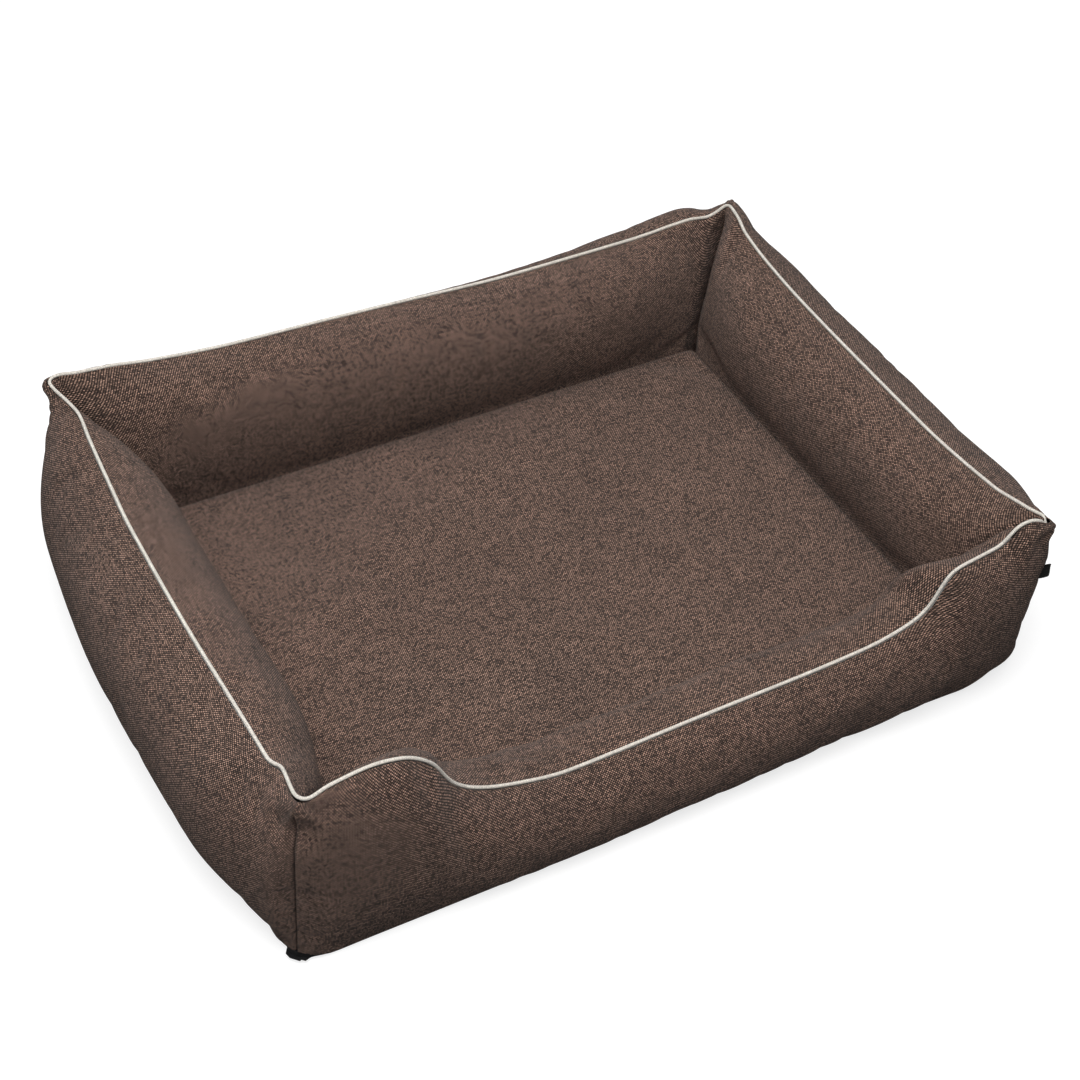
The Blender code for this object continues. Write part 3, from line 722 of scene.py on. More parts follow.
def stuffing(wall, along):
    """The two handles of the outside's curve and its foot: top out, top rise, low out and foot out."""
    points = np.array(wall["stuffing"])
    return [line_through(points[:, (0, column)], along) for column in (1, 2, 3, 4)]


def foot_rise(wall, along):
    """How far the base seam lifts off the floor. The front corners, which are empty, stand up a little."""
    near = 1 - smooth((wall["half"] - np.abs(along)) / by_tip(wall, along, TIP_FOOT_RUN))
    return BASE_THICK + 0.0003 + by_tip(wall, along, TIP_FOOT) * near


def outer_curve(wall, along):
    """(out, up) of the outside at SAMPLES places, from the base seam up to the piping."""
    out, up = piped_seam(wall, along)
    distance = wall["half"] - np.abs(along)
    ear = 1 - smooth(distance / EAR_RUN)
    top_out, rise, low_out, foot = stuffing(wall, along)
    low = foot_rise(wall, along)
    height = up - low
    n = bezier(foot, low_out, top_out, out + PIPING_RADIUS + 0.0008)
    z = bezier(low, low + wall["low_share"] * height, up + rise, up - 0.0012)
    drop = up - z
    lip = by_tip(wall, along, TIP_LIP) * np.exp(-(((drop - 0.012) / 0.009) ** 2))
    notch = by_tip(wall, along, TIP_NOTCH) * np.exp(-(((drop - 0.040) / 0.018) ** 2))
    return n + ear * (lip - notch), z


def inner_curve(wall, along):
    """(out, up) of the inside at SAMPLES places: a plump roll from the piping down to the mattress's top."""
    out, up = piped_seam(wall, along)
    distance = wall["half"] - np.abs(along)
    start = (out - PIPING_RADIUS - 0.0006, up - 0.0010)
    end = (-NEST_INSET + 0 * out, NEST_FLOOR + 0.001 + 0 * up)
    plump = np.sin(np.clip(distance / BELLY_RUN, 0, 1) * pi / 2) ** 0.7
    handles = []
    shoulder = [line_through(np.array(wall["shoulder"])[:, (0, column)], along) for column in (1, 2)]
    for share, full_out, full_up in ((1 / 3, *shoulder), (2 / 3, *BELLY_LOW)):
        straight_out = start[0] + (end[0] - start[0]) * share
        straight_up = start[1] + (end[1] - start[1]) * share
        top = start[1] + full_up if share < 0.5 else end[1] + full_up * (start[1] - end[1])
        handles.append((
            straight_out + (full_out - straight_out) * plump, straight_up + (top - straight_up) * plump
        ))
    n, z = (bezier(*values) for values in zip(start, *handles, end))
    fall = np.linspace(0, 1, SAMPLES)[:, None]
    crease = CREASE_DEPTH * (1 - smooth(distance / CREASE_RUN)) * smooth(fall / 0.25)
    return n + crease, z


def in_bed(wall, along, out, up, share_up, inside=False):
    """Points in the bed's frame. Near a tip the wall turns onto the 45 degree plane and takes the tip's
    shift. The inside's corner stays on its crease below the ear."""
    distance = wall["half"] - np.abs(along)
    if inside:
        out = out + rounded(distance, EAR_ROUND) * smooth((share_up - 0.7) / 0.3)
    else:
        out = out + rounded(distance, FOOT_ROUND + (EAR_ROUND - FOOT_ROUND) * smooth(share_up))
    turned = along + out * (along / wall["half"]) ** 3
    x, y = turned, -(wall["reach"] + out)
    for _ in range(wall["quarter"]):
        x, y = -y, x
    near = (1 - smooth(distance / EAR_RUN)) * smooth(share_up)
    shift = by_tip(wall, along[:, None], TIP_SHIFT)
    return np.stack([x, y, up], axis=-1) + shift * near[..., None]


def walk(line):
    """Distances along a line of points, from its start."""
    return np.concatenate([[0.0], np.cumsum(np.linalg.norm(np.diff(line, axis=0), axis=1))])


def spaced(curve, distances):
    """Resamples each column of a curve at distances from its start, given as a (rows, columns) array."""
    n, z = curve
    steps = np.hypot(np.diff(n, axis=0), np.diff(z, axis=0))
    walked = np.vstack([np.zeros(n.shape[1]), np.cumsum(steps, axis=0)])
    rows = [
        np.stack([np.interp(distances[:, k], walked[:, k], values[:, k]) for k in range(n.shape[1])], axis=1)
        for values in (n, z)
    ]
    return rows[0], rows[1]


def lengths(curve):
    n, z = curve
    return np.hypot(np.diff(n, axis=0), np.diff(z, axis=0)).sum(axis=0)


print("walls", ", ".join(WALLS), "inside", round(2 * NEST_HALF_X, 3), "by", round(2 * NEST_HALF_Y, 3))

# %% Places along and up a wall
CELL = 0.0075
ZIP_FROM_SEAM = (0.0275, 0.0445)


def along_places(wall, cell=CELL):
    """Places along a wall, twice as close together at the tips as in the middle."""
    count = 2 * round(wall["half"] / cell)
    steps = np.linspace(-1, 1, count + 1)
    return wall["half"] * (0.66 * steps + 0.34 * np.sin(steps * pi / 2))


def outer_grid(wall, along, upper_rows=36):
    """Points and grain of the outer panel, with rows at the edges of the zip's opening."""
    curve = outer_curve(wall, along)
    total = lengths(curve)
    low, high = ZIP_FROM_SEAM
    below = np.linspace(0, low, 5)[:-1, None] + 0 * total
    across = np.linspace(low, high, 4)[:-1, None] + 0 * total
    above = high + (total - high) * np.linspace(0, 1, upper_rows)[:, None]
    distances = np.vstack([below, across, above])
    n, z = spaced(curve, distances)
    share = distances / total
    points = in_bed(wall, along, n, z, share)
    grain = np.stack([along[None, :] + 0 * n, distances], axis=-1)
    return points, grain


HIDDEN_ROWS = 7


def inner_grid(wall, along, rows=30):
    """The same for the inner panel: down from the piping to the mattress, then beside it to the base."""
    curve = inner_curve(wall, along)
    total = lengths(curve)
    distances = total * np.linspace(0, 1, rows)[:, None]
    n, z = spaced(curve, distances)
    side = np.linspace(0, 1, HIDDEN_ROWS + 1)[1:, None]
    n = np.vstack([n, n[-1:] + 0 * side])
    z = np.vstack([z, z[-1:] + (BASE_THICK + 0.0006 - z[-1:]) * side])
    share = np.vstack([1 - distances / total, 0 * side + 0 * total])
    points = in_bed(wall, along, n, z, share, inside=True)
    fall = np.vstack([distances, total + NEST_FLOOR * side])
    grain = np.stack([along[None, :] + 0 * n, total.max() + NEST_FLOOR - fall], axis=-1)
    return points, grain


# %% [markdown]
# ## Draping a panel
# A wall's cover is two panels: the outer one from the base up to the piping, the inner one from the piping
# down beside the mattress. Each starts as Blender's grid primitive with as many cells as the cloth needs, and
# its points are laid over the sections above. Small puckers are put in first: a fine ripple where the piping
# gathers the edge, and a few folds that fan out from each pinched corner. The UV map holds every point's
# place on the flat cloth in metres, so the weave keeps its scale and bends with the panel.


# %% Draping
def coordinates(piece):
    found = np.empty(len(piece.data.vertices) * 3, np.float32)
    piece.data.vertices.foreach_get("co", found)
    return found.reshape(-1, 3).astype(float)


def set_coordinates(piece, points):
    piece.data.vertices.foreach_set("co", np.asarray(points, np.float32).ravel())
    piece.data.update()


def set_grain(piece, grain):
    """Writes the UV map: a place on the flat cloth, in metres, for each vertex."""
    index = np.empty(len(piece.data.loops), np.int32)
    piece.data.loops.foreach_get("vertex_index", index)
    if not piece.data.uv_layers:
        piece.data.uv_layers.new(name="grain")
    piece.data.uv_layers[0].data.foreach_set("uv", grain.reshape(-1, 2)[index].astype(np.float32).ravel())


def drape(name, points, grain):
    """A grid of cloth whose vertices lie at points[row, column]."""
    rows, columns = points.shape[:2]
    piece = start_with("grid", name, x_subdivisions=columns - 1, y_subdivisions=rows - 1, size=1.0)
    set_coordinates(piece, points.reshape(-1, 3))
    set_grain(piece, grain)
    return piece


def normals_of(points):
    """Unit normals of a grid of points."""
    along = np.gradient(points, axis=1)
    upwards = np.gradient(points, axis=0)
    normal = np.cross(along, upwards)
    return normal / np.maximum(np.linalg.norm(normal, axis=-1, keepdims=True), 1e-9)


def puckers(along, half, from_piping, depth):
    """Gathers below the piping, and folds that fan out from the two tips."""
    gather = np.sin(along * 390 + 1.7 * np.sin(along * 61)) + 0.6 * np.sin(along * 233 + 1.0)
    ripple = 0.35 * gather * np.exp(-from_piping / 0.010)
    distance = half - np.abs(along)
    reach = np.hypot(distance, from_piping)
    angle = np.arctan2(from_piping, np.maximum(distance, 1e-6))
    fan = np.cos(9.0 * angle + 1.3 * np.sign(along) + 14 * distance)
    folds = 1.7 * fan * smooth(reach / 0.02) * np.exp(-((reach / 0.075) ** 2))
    return depth * (ripple + folds)


# %% [markdown]
# ## Stuffing a panel by simulation
# The cloth modifier treats the grid as threads and lets pressure push it from behind. The seams are pinned,
# gravity is off, and the cloth is told to grow by about one per cent, since a cover is always cut a little
# larger than its filling: that spare cloth turns into soft dimples near the seams. Twenty frames are enough.
# No point may travel more than a few millimetres, so the panel stays where the CAD solid says it is.


# %% Stuffing
def stuff(piece, sewn, pressure=3.0, growth=0.012, travel=0.006, frames=20):
    """Simulates the panel with its sewn vertices pinned, applies the result and caps how far it went."""
    rest = coordinates(piece)
    group = piece.vertex_groups.new(name="sewn")
    group.add(np.flatnonzero(sewn).tolist(), 1.0, "REPLACE")
    only(piece)
    cloth = piece.modifiers.new("cloth", "CLOTH")
    cloth.settings.quality = 5
    cloth.settings.mass = 0.3
    cloth.settings.tension_stiffness = 25
    cloth.settings.compression_stiffness = 25
    cloth.settings.shear_stiffness = 8
    cloth.settings.bending_stiffness = 0.6
    cloth.settings.shrink_min = -growth
    cloth.settings.use_pressure = True
    cloth.settings.uniform_pressure_force = pressure
    cloth.settings.effector_weights.gravity = 0
    cloth.settings.vertex_group_mass = group.name
    cloth.collision_settings.use_collision = False
    for number in range(1, frames + 1):
        bpy.context.scene.frame_set(number)
    bpy.ops.object.modifier_apply(modifier=cloth.name)
    bpy.context.scene.frame_set(1)
    piece.vertex_groups.clear()
    moved = coordinates(piece) - rest
    far = np.maximum(np.linalg.norm(moved, axis=1), 1e-9)
    set_coordinates(piece, rest + moved * (travel * np.tanh(far / travel) / far)[:, None])
    print(piece.name, "travelled up to", round(float(far.max()) * 1000, 1), "mm before the cap")
    return piece


CLOTH_THICK = 0.0012


def hem(piece, finish, body, thickness=CLOTH_THICK, levels=1):
    """Smooths a panel, gives it the cloth's thickness on its back, and its finish and body."""
    if levels:
        finish_with(piece, "SUBSURF", levels=levels, render_levels=levels)
    finish_with(piece, "SOLIDIFY", thickness=thickness, offset=-1)
    shade(piece, 50)
    return dress(piece, finish, body)


def dress(piece, finish, body):
    """One finish and the body it rides on."""
    piece.data.materials.clear()
    piece.data.materials.append(finishes[finish])
    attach(piece, body)
    return piece


def flat_size(points):
    """Width, length and area of a draped grid's cloth."""
    steps = np.linalg.norm(np.diff(points, axis=1), axis=-1).sum(axis=1)
    climbs = np.linalg.norm(np.diff(points, axis=0), axis=-1).sum(axis=0)
    one, other = points[1:, 1:] - points[:-1, :-1], points[1:, :-1] - points[:-1, 1:]
    area = 0.5 * np.linalg.norm(np.cross(one, other), axis=-1).sum()
    return float(steps.max()), float(climbs.max()), float(area)


# %% [markdown]
# ## The stuffing
# Under each wall's cover lies its own roll of fibre, drawn a few millimetres inside the cloth. Nobody sees it
# on the finished bed, yet the cover is only true if something fills it. It is a closed loft: the outside's
# curve, inset, up to just under the piping, then the inside's curve down again. The two open ends are filled.


# %% Fibre rolls
FILL_INSET = 0.008
FILL_END = 0.045
RING = 24


def inset_curve(curve, distance):
    """An (out, up) curve moved to its left."""
    n, z = curve
    along_n, along_z = np.gradient(n, axis=0), np.gradient(z, axis=0)
    size = np.maximum(np.hypot(along_n, along_z), 1e-9)
    return n - along_z / size * distance, z + along_n / size * distance


def fibre_roll(name, wall):
    along = along_places(wall, 0.016)
    along = along * (wall["half"] - FILL_END) / wall["half"]
    halves = []
    for curve, top_at_end in ((outer_curve(wall, along), True), (inner_curve(wall, along), False)):
        n, z = inset_curve(curve, FILL_INSET)
        total = lengths((n, z))
        stop = np.maximum(total - 0.016, 0.5 * total)
        shares = np.linspace(0, 1, RING)[:, None]
        distances = shares * stop if top_at_end else (total - stop) + shares * stop
        halves.append(spaced((n, z), distances))
    floor_up = BASE_THICK + 0.004
    foot = np.linspace(0, 1, 8)[1:, None]
    inner_n, inner_z = halves[1]
    down_n = inner_n[-1:] + 0 * foot
    down_z = inner_z[-1:] + (floor_up - inner_z[-1:]) * foot
    back_n = down_n[-1:] + (halves[0][0][:1] - down_n[-1:]) * foot
    back_z = floor_up + 0 * back_n
    n = np.vstack([halves[0][0], inner_n, down_n, back_n])
    z = np.maximum(np.vstack([halves[0][1], inner_z, down_z, back_z]), floor_up)
    share = np.clip((z - BASE_THICK) / 0.25, 0, 1)
    lumps = 0.0012 * np.sin(along * 47 + 5 * n * 30) * np.sin(z * 71 + along * 19)
    points = in_bed(wall, along, n - np.abs(lumps) * np.sign(n), z, share * 0.6)
    grain = np.stack([along + 0 * n, np.cumsum(np.ones_like(n), axis=0) * 0.01], axis=-1)
    roll = edit(drape(name, points, grain), merge(0.0002), ("fill_holes", {"sides": 0}), OUTWARDS)
    shade(roll, 60)
    return dress(roll, "filling", "rim")


for wall_name, wall in WALLS.items():
    roll = fibre_roll(f"fibre_roll_{wall_name}", wall)
    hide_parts(f"filling_{wall_name}")
    print(roll.name, triangles(roll), "triangles")

# %% [markdown]
# ## The cover's panels
# Every panel is draped, pinned on all four edges and stuffed. On the back wall the two edges of the zip's
# opening are pinned as well and laid exactly over the zip's tapes, whose place comes from the frame, and the
# cells between them are taken out before the cloth gets its thickness.

# %% Where the rim zip lies
tape_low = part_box("rim_zip_tape_lower")
tape_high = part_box("rim_zip_tape_upper")
coil_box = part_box("rim_zip_coil")
zip_middle = (coil_box[0] + coil_box[1]) / 2
zip_up = ((tape_high[0] + tape_high[1]) / 2 - (tape_low[0] + tape_low[1]) / 2).normalized()
zip_face = Vector((0, zip_up.z, -zip_up.y))
ZIP_HALF = tape_low[1].x
OPENING_HALF = 0.0085
OPENING_PROUD = 0.0018


def lay_on_zip(points, share_along):
    """Pulls the rows around the zip's opening onto the zip. Rows 4 to 7 are the opening's own."""
    rows = points.shape[0]
    for row in range(rows):
        inside = 4 <= row <= 7
        gap = 4 - row if row < 4 else row - 7
        weight = share_along * (1.0 if inside else max(0.0, 1 - gap / 5.0) ** 2)
        across = OPENING_HALF * (2 * (min(max(row, 4), 7) - 4) / 3 - 1)
        target = zip_middle + zip_up * across + zip_face * OPENING_PROUD
        edge = points[min(max(row, 4), 7)]
        offset = np.stack([0 * share_along, target.y - edge[:, 1], target.z - edge[:, 2]], axis=-1)
        points[row] = points[row] + offset * weight[:, None]
    return points


SEAM_GAP = 0.0010
SEAM_TURN = 0.006


def with_allowance(wall, along):
    """Adds a column just inside each end: the cloth turns in there, and its last column is the allowance."""
    return np.concatenate([
        along[:1], [SEAM_GAP - wall["half"]], along[1:-1], [wall["half"] - SEAM_GAP], along[-1:]
    ])


def turn_in(points, share_up):
    """Moves the end columns into the rim, along the corner's 45 degree plane."""
    for column in (0, -1):
        inward = np.array([0.0, 0.0, 0.0])
        inward[:2] = -np.sign(points[0, column, :2])
        deep = SEAM_TURN * smooth((1 - share_up[:, column]) / 0.12)
        points[:, column] += inward * deep[:, None]
    return points


def cut_out(piece, taken):
    """Deletes the faces whose vertices are all marked, in a mask of the draped grid's rows and columns."""
    marked = taken.ravel()
    only(piece)
    bpy.ops.object.mode_set(mode="EDIT")
    bpy.ops.mesh.select_all(action="DESELECT")
    bpy.ops.object.mode_set(mode="OBJECT")
    for face in piece.data.polygons:
        face.select = all(marked[index] for index in face.vertices)
    bpy.ops.object.mode_set(mode="EDIT")
    bpy.ops.mesh.select_mode(type="FACE")
    bpy.ops.mesh.delete(type="FACE")
    bpy.ops.object.mode_set(mode="OBJECT")


def sew_panel(side, wall_name, points, grain, sewn, taken=None, **push):
    """Drapes, stuffs and hems one panel of a wall's cover, and hides its CAD panel."""
    panel = drape(f"{side}_cloth_{wall_name}", points, grain)
    stuff(panel, sewn.ravel(), **push)
    if taken is not None:
        cut_out(panel, taken)
    hem(panel, "cover", "rim")
    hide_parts(f"{side}_panel_{wall_name}")
    flat_size(points)


# %% Outer panels
for wall_name, wall in WALLS.items():
    along = with_allowance(wall, along_places(wall))
    points, grain = outer_grid(wall, along)
    distances = grain[..., 1]
    points = turn_in(points, distances / distances.max(axis=0))
    from_piping = distances.max(axis=0) - distances
    folds = puckers(along, wall["half"], from_piping, 0.0016)
    edge = smooth(from_piping / 0.004) * smooth(distances / 0.012)
    points = points + normals_of(points) * (folds * edge)[..., None]
    sewn = np.zeros(points.shape[:2], bool)
    sewn[0] = sewn[-1] = True
    sewn[:, :2] = sewn[:, -2:] = True
    taken = None
    if wall_name == "back":
        share_along = smooth((ZIP_HALF + 0.030 - np.abs(along)) / 0.028)
        points = lay_on_zip(points, share_along)
        sewn[3:9, share_along > 0.01] = True
        taken = np.zeros(points.shape[:2], bool)
        taken[4:8, np.abs(along) <= ZIP_HALF + 0.001] = True
    sew_panel("outer", wall_name, points, grain, sewn, taken)

# %% Inner panels
for wall_name, wall in WALLS.items():
    along = along_places(wall)
    points, grain = inner_grid(wall, along)
    last_seen = points.shape[0] - HIDDEN_ROWS - 1
    from_piping = grain[..., 1].max(axis=0) - grain[..., 1]
    folds = puckers(along, wall["half"], from_piping, 0.0008)
    above = smooth((last_seen - np.arange(points.shape[0])) / 6)[:, None]
    edge = smooth(from_piping / 0.004) * above
    points = points + normals_of(points) * (folds * edge)[..., None]
    sewn = np.zeros(points.shape[:2], bool)
    sewn[0] = sewn[:, 0] = sewn[:, -1] = True
    sewn[last_seen:] = True
    sew_panel("inner", wall_name, points, grain, sewn, travel=0.004)

# %% [markdown]
# ## The piping
# Piping is a cord wrapped in a strip of pale cloth cut on the bias, and its flange is caught in the seam
# between the two panels. It runs in one length round the whole rim and its two ends are tucked down into the
# front right corner. A tube needs its own pattern along it, so it is draped too: a grid whose rows go round
# the cord and whose columns follow the seam.

# %% Piping
PIPING_SIDES = 14
PIPING_STEP = 0.0035
route = []
for wall_name in ("front", "left", "back", "right"):
    wall = WALLS[wall_name]
    along = along_places(wall, 0.004)[::-1]
    out, up = piped_seam(wall, along)
    route.append(in_bed(wall, along, out[None, :], up[None, :], np.ones((1, len(along))))[0][:-1])
route = np.vstack(route)
for _ in range(3):
    route[1:-1] = 0.25 * route[:-2] + 0.5 * route[1:-1] + 0.25 * route[2:]
walked = walk(route)
PIPING_LENGTH = float(walked[-1])
stations = np.linspace(0, PIPING_LENGTH, round(PIPING_LENGTH / PIPING_STEP))
centre = np.stack([np.interp(stations, walked, route[:, axis]) for axis in range(3)], axis=-1)
tuck = (1 - smooth(stations / 0.016)) + smooth((stations - PIPING_LENGTH + 0.012) / 0.012)
centre[:, 2] -= 0.010 * tuck
tangent = np.gradient(centre, axis=0)
tangent /= np.linalg.norm(tangent, axis=1, keepdims=True)
side = np.cross(tangent, (0.0, 0.0, 1.0))
side /= np.linalg.norm(side, axis=1, keepdims=True)
top = np.cross(side, tangent)
turn = np.linspace(0, 2 * pi, PIPING_SIDES + 1)[:, None, None]
ring = centre + PIPING_RADIUS * (np.cos(turn) * side - np.sin(turn) * top)
grain = np.stack([stations + 0 * turn[..., 0], turn[..., 0] * PIPING_RADIUS + 0 * stations], axis=-1)
piping = edit(drape("piping_cord", ring, grain), merge(0.00005), ("fill_holes", {"sides": 0}), OUTWARDS)
bpy.ops.object.shade_smooth()
dress(piping, "piping", "rim")
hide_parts("piping")
print(f"piping {PIPING_LENGTH:.3f} m, {triangles(piping)} triangles")

# %% [markdown]
# ## The base
# The base is one sheet of black cloth with rubber dots underneath, sewn to the feet of the walls. Its
# outline is the base seam itself, so it is a filled circle whose points are moved onto that seam. Three
# insets give it rings: the inner one lies flat under the mattress, and the outer two rise to the seam
# where a corner stands up off the floor. Blender adds the rings' vertices with the innermost first, so
# ring 1 is the inner one.

# %% Base sheet
outline = np.vstack([outer_grid(wall, along_places(wall, 0.012))[0][0][:-1] for wall in WALLS.values()])
base = start_with("circle", "base_sheet", vertices=len(outline), radius=1.0, fill_type="NGON")
set_coordinates(base, outline - [0, 0, 0.0004])
only(base)
bpy.ops.object.mode_set(mode="EDIT")
bpy.ops.mesh.select_all(action="SELECT")
bpy.ops.mesh.normals_make_consistent(inside=False)
for width in (0.006, 0.012, 0.001):
    bpy.ops.mesh.inset(thickness=width, depth=0.0)
bpy.ops.object.mode_set(mode="OBJECT")
placed = coordinates(base)
placed[len(outline) :, 2] = BASE_THICK - 0.0004
height = outline[:, 2] - BASE_THICK
curl = smooth(height / 0.012) * (outline[:, 0] < 0)
spread = outline[:, :2] * (1 + 0.012 * curl[:, None])
for ring in (3, 2):
    rows = slice(ring * len(outline), (ring + 1) * len(outline))
    nearest = np.linalg.norm(placed[rows, None, :2] - outline[None, :, :2], axis=2).argmin(axis=1)
    out = (0.35, 0.85)[ring - 2] * curl[nearest, None]
    placed[rows, :2] += (spread[nearest] - placed[rows, :2]) * out
    lifted = np.where(outline[nearest, 0] < 0, (0.05, 0.30)[ring - 2], (0.55, 0.80)[ring - 2])
    placed[rows, 2] += lifted * height[nearest]
placed[len(outline) : 2 * len(outline), :2] *= 0.9
set_coordinates(base, placed)
set_grain(base, placed[:, :2])
finish_with(base, "SOLIDIFY", thickness=BASE_THICK - 0.0010, offset=-1)
dress(base, "base", "rim")
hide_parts("base_panel")

# %% Rubber dots
DOT_PITCH = 0.016
DOT_RADIUS = 0.0028
DOT_RISE = 0.0007
dots_x = int(2 * (HALF_LENGTH - 0.02) / DOT_PITCH)
dots_y = int(2 * (HALF_DEPTH - 0.02) / DOT_PITCH)
first = (-(dots_x - 1) * DOT_PITCH / 2, -(dots_y - 1) * DOT_PITCH / 2, DOT_RISE)
dots = start_with("uv_sphere", "rubber_dots", segments=6, ring_count=4, radius=DOT_RADIUS, location=first)
dots.scale = (1, 1, DOT_RISE / DOT_RADIUS)
place_in_mesh(dots)
repeat(dots, dots_x, (DOT_PITCH, 0, 0))
repeat(dots, dots_y, (0, DOT_PITCH, 0))
dress(dots, "rubber", "rim")
print(dots_x * dots_y, "dots,", triangles(dots), "triangles")

# %% [markdown]
# ## The mattress
# A block of cut foam in a cover of the same hopsack. The cover is a top panel, a bottom panel and a band
# round the sides. The top is draped over a rounded rectangle whose edge rolls down to the seam, and then
# stuffed lightly, so that it is flat to the eye but never quite plane.

# %% Mattress sizes
mattress_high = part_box("mattress_top_panel")[1]
MATTRESS_HALF = (mattress_high.x, mattress_high.y)
MATTRESS_TOP = mattress_high.z
MATTRESS_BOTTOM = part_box("mattress_bottom_panel")[0].z
CORNER_RADIUS = 0.014
EDGE_ROLL = 0.007


def rounded_rectangle(places_x, places_y):
    """Points of a rectangle's grid, pushed in at the corners, and their distance from the edge."""
    x, y = np.meshgrid(places_x, places_y)
    half = np.array(MATTRESS_HALF)
    over = np.stack([np.abs(x), np.abs(y)], axis=-1) - (half - CORNER_RADIUS)
    in_corner = (over > 0).all(axis=-1)
    larger, reach = over.max(axis=-1), np.linalg.norm(over, axis=-1)
    shrink = np.where(in_corner, larger / np.maximum(reach, 1e-9), 1.0)
    corner = np.maximum(over, 0) * shrink[..., None]
    straight = np.stack([np.abs(x), np.abs(y)], -1)
    placed = np.where(in_corner[..., None], half - CORNER_RADIUS + corner, straight)
    distance = np.where(in_corner, CORNER_RADIUS - larger, (half - straight).min(-1))
    return placed[..., 0] * np.sign(x), placed[..., 1] * np.sign(y), np.maximum(distance, 0)


def edge_places(half, cell):
    """Places from edge to edge, closer together in the last centimetre."""
    inner = np.linspace(-(half - 0.012), half - 0.012, round(2 * half / cell))
    edge = half - 0.012 * np.array([0, 0.1, 0.22, 0.36, 0.52, 0.7, 0.85])
    return np.concatenate([-edge, inner, edge[::-1]])


def mattress_face(name, cell, up_sign):
    """The top or the bottom panel, with its edge rolled towards the band."""
    x, y, distance = rounded_rectangle(*(edge_places(half, cell) for half in MATTRESS_HALF))
    share = np.clip(distance / 0.012, 0, 1)
    roll = EDGE_ROLL * (1 - np.sqrt(1 - (1 - share) ** 2))
    wander = 0.0008 * (np.sin(x * 23 + 1.1) * np.sin(y * 31 + 0.4) + 0.6 * np.sin(x * 51 + y * 37))
    level = MATTRESS_TOP if up_sign > 0 else MATTRESS_BOTTOM
    z = level - up_sign * roll + (wander * share if up_sign > 0 else 0)
    points = np.stack([x, y * up_sign, z], axis=-1)
    return drape(name, points, np.stack([x, y], axis=-1)), points


# %% Top and bottom panels
for name, node, cell, up_sign in (
    ("mattress_top_cloth", "mattress_top_panel", 0.009, 1),
    ("mattress_bottom_cloth", "mattress_bottom_panel", 0.03, -1),
):
    panel, points = mattress_face(name, cell, up_sign)
    size = flat_size(points)
    if up_sign > 0:
        sewn = np.zeros(points.shape[:2], bool)
        sewn[:6] = sewn[-6:] = True
        sewn[:, :6] = sewn[:, -6:] = True
        stuff(panel, sewn.ravel(), pressure=0.6, growth=0.004, travel=0.0022)
    hem(panel, "cover", "mattress", levels=1 if up_sign > 0 else 0)
    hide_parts(node)

# %% [markdown]
# ## The mattress's band
# The band goes once round the sides, with its seam at the front. Its rows bow out a little between the two
# sewn edges. At the back it has an opening for the zip, which lies in a shallow channel so that the slider
# never rubs on the wall.

# %% Band
mattress_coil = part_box("mattress_zip_coil")
mattress_zip_up = (mattress_coil[0].z + mattress_coil[1].z) / 2
BAND_OPENING = 0.0095


def band_path(cell):
    """Points anticlockwise round the mattress from the middle of its front, with outward normals."""
    half_x, half_y = MATTRESS_HALF
    r = CORNER_RADIUS
    runs = [
        ((0, -half_y), (half_x - r, -half_y)),
        ((half_x, -half_y + r), (half_x, half_y - r)),
        ((half_x - r, half_y), (-half_x + r, half_y)),
        ((-half_x, half_y - r), (-half_x, -half_y + r)),
        ((-half_x + r, -half_y), (0, -half_y)),
    ]
    path, normals = [], []
    for number, (start, end) in enumerate(runs):
        normal = np.array([(0, -1), (1, 0), (0, 1), (-1, 0), (0, -1)][number], float)
        steps = max(2, round(np.hypot(end[0] - start[0], end[1] - start[1]) / cell))
        for share in np.linspace(0, 1, steps + 1):
            path.append(np.array(start) + (np.array(end) - start) * share)
            normals.append(normal)
        if number == 4:
            break
        following = np.array([(1, 0), (0, 1), (-1, 0), (0, -1)][number], float)
        middle = path[-1] - normal * r
        for share in np.linspace(0, 1, 7)[1:-1]:
            direction = normal * cos(share * pi / 2) + following * sin(share * pi / 2)
            path.append(middle + direction * r)
            normals.append(direction)
    return np.array(path), np.array(normals)


path, normals = band_path(0.012)
low, high = MATTRESS_BOTTOM + EDGE_ROLL, MATTRESS_TOP - EDGE_ROLL
opening_low, opening_high = mattress_zip_up - BAND_OPENING, mattress_zip_up + BAND_OPENING
levels = np.concatenate([
    np.linspace(low, opening_low, 7), np.linspace(opening_low, opening_high, 3)[1:-1],
    np.linspace(opening_high, high, 7),
])
bow = 0.0006 * np.sin((levels - low) / (high - low) * pi)
points = np.zeros((len(levels), len(path), 3))
points[..., :2] = path + normals * bow[:, None, None]
points[..., 2] = levels[:, None]
walked = walk(path)
grain = np.stack([walked + 0 * levels[:, None], levels[:, None] + 0 * walked], axis=-1)
band = drape("mattress_band_cloth", points, grain)
ZIP_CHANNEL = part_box("mattress_zip_tape_lower")[1].x
marked = np.zeros(points.shape[:2], bool)
marked[6:9] = (np.abs(path[:, 0]) < ZIP_CHANNEL) & (path[:, 1] > MATTRESS_HALF[1] - 0.001)
cut_out(band, marked)
edit(band, merge(0.00005))
hem(band, "cover", "mattress", levels=0)
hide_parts("mattress_band")
flat_size(points)

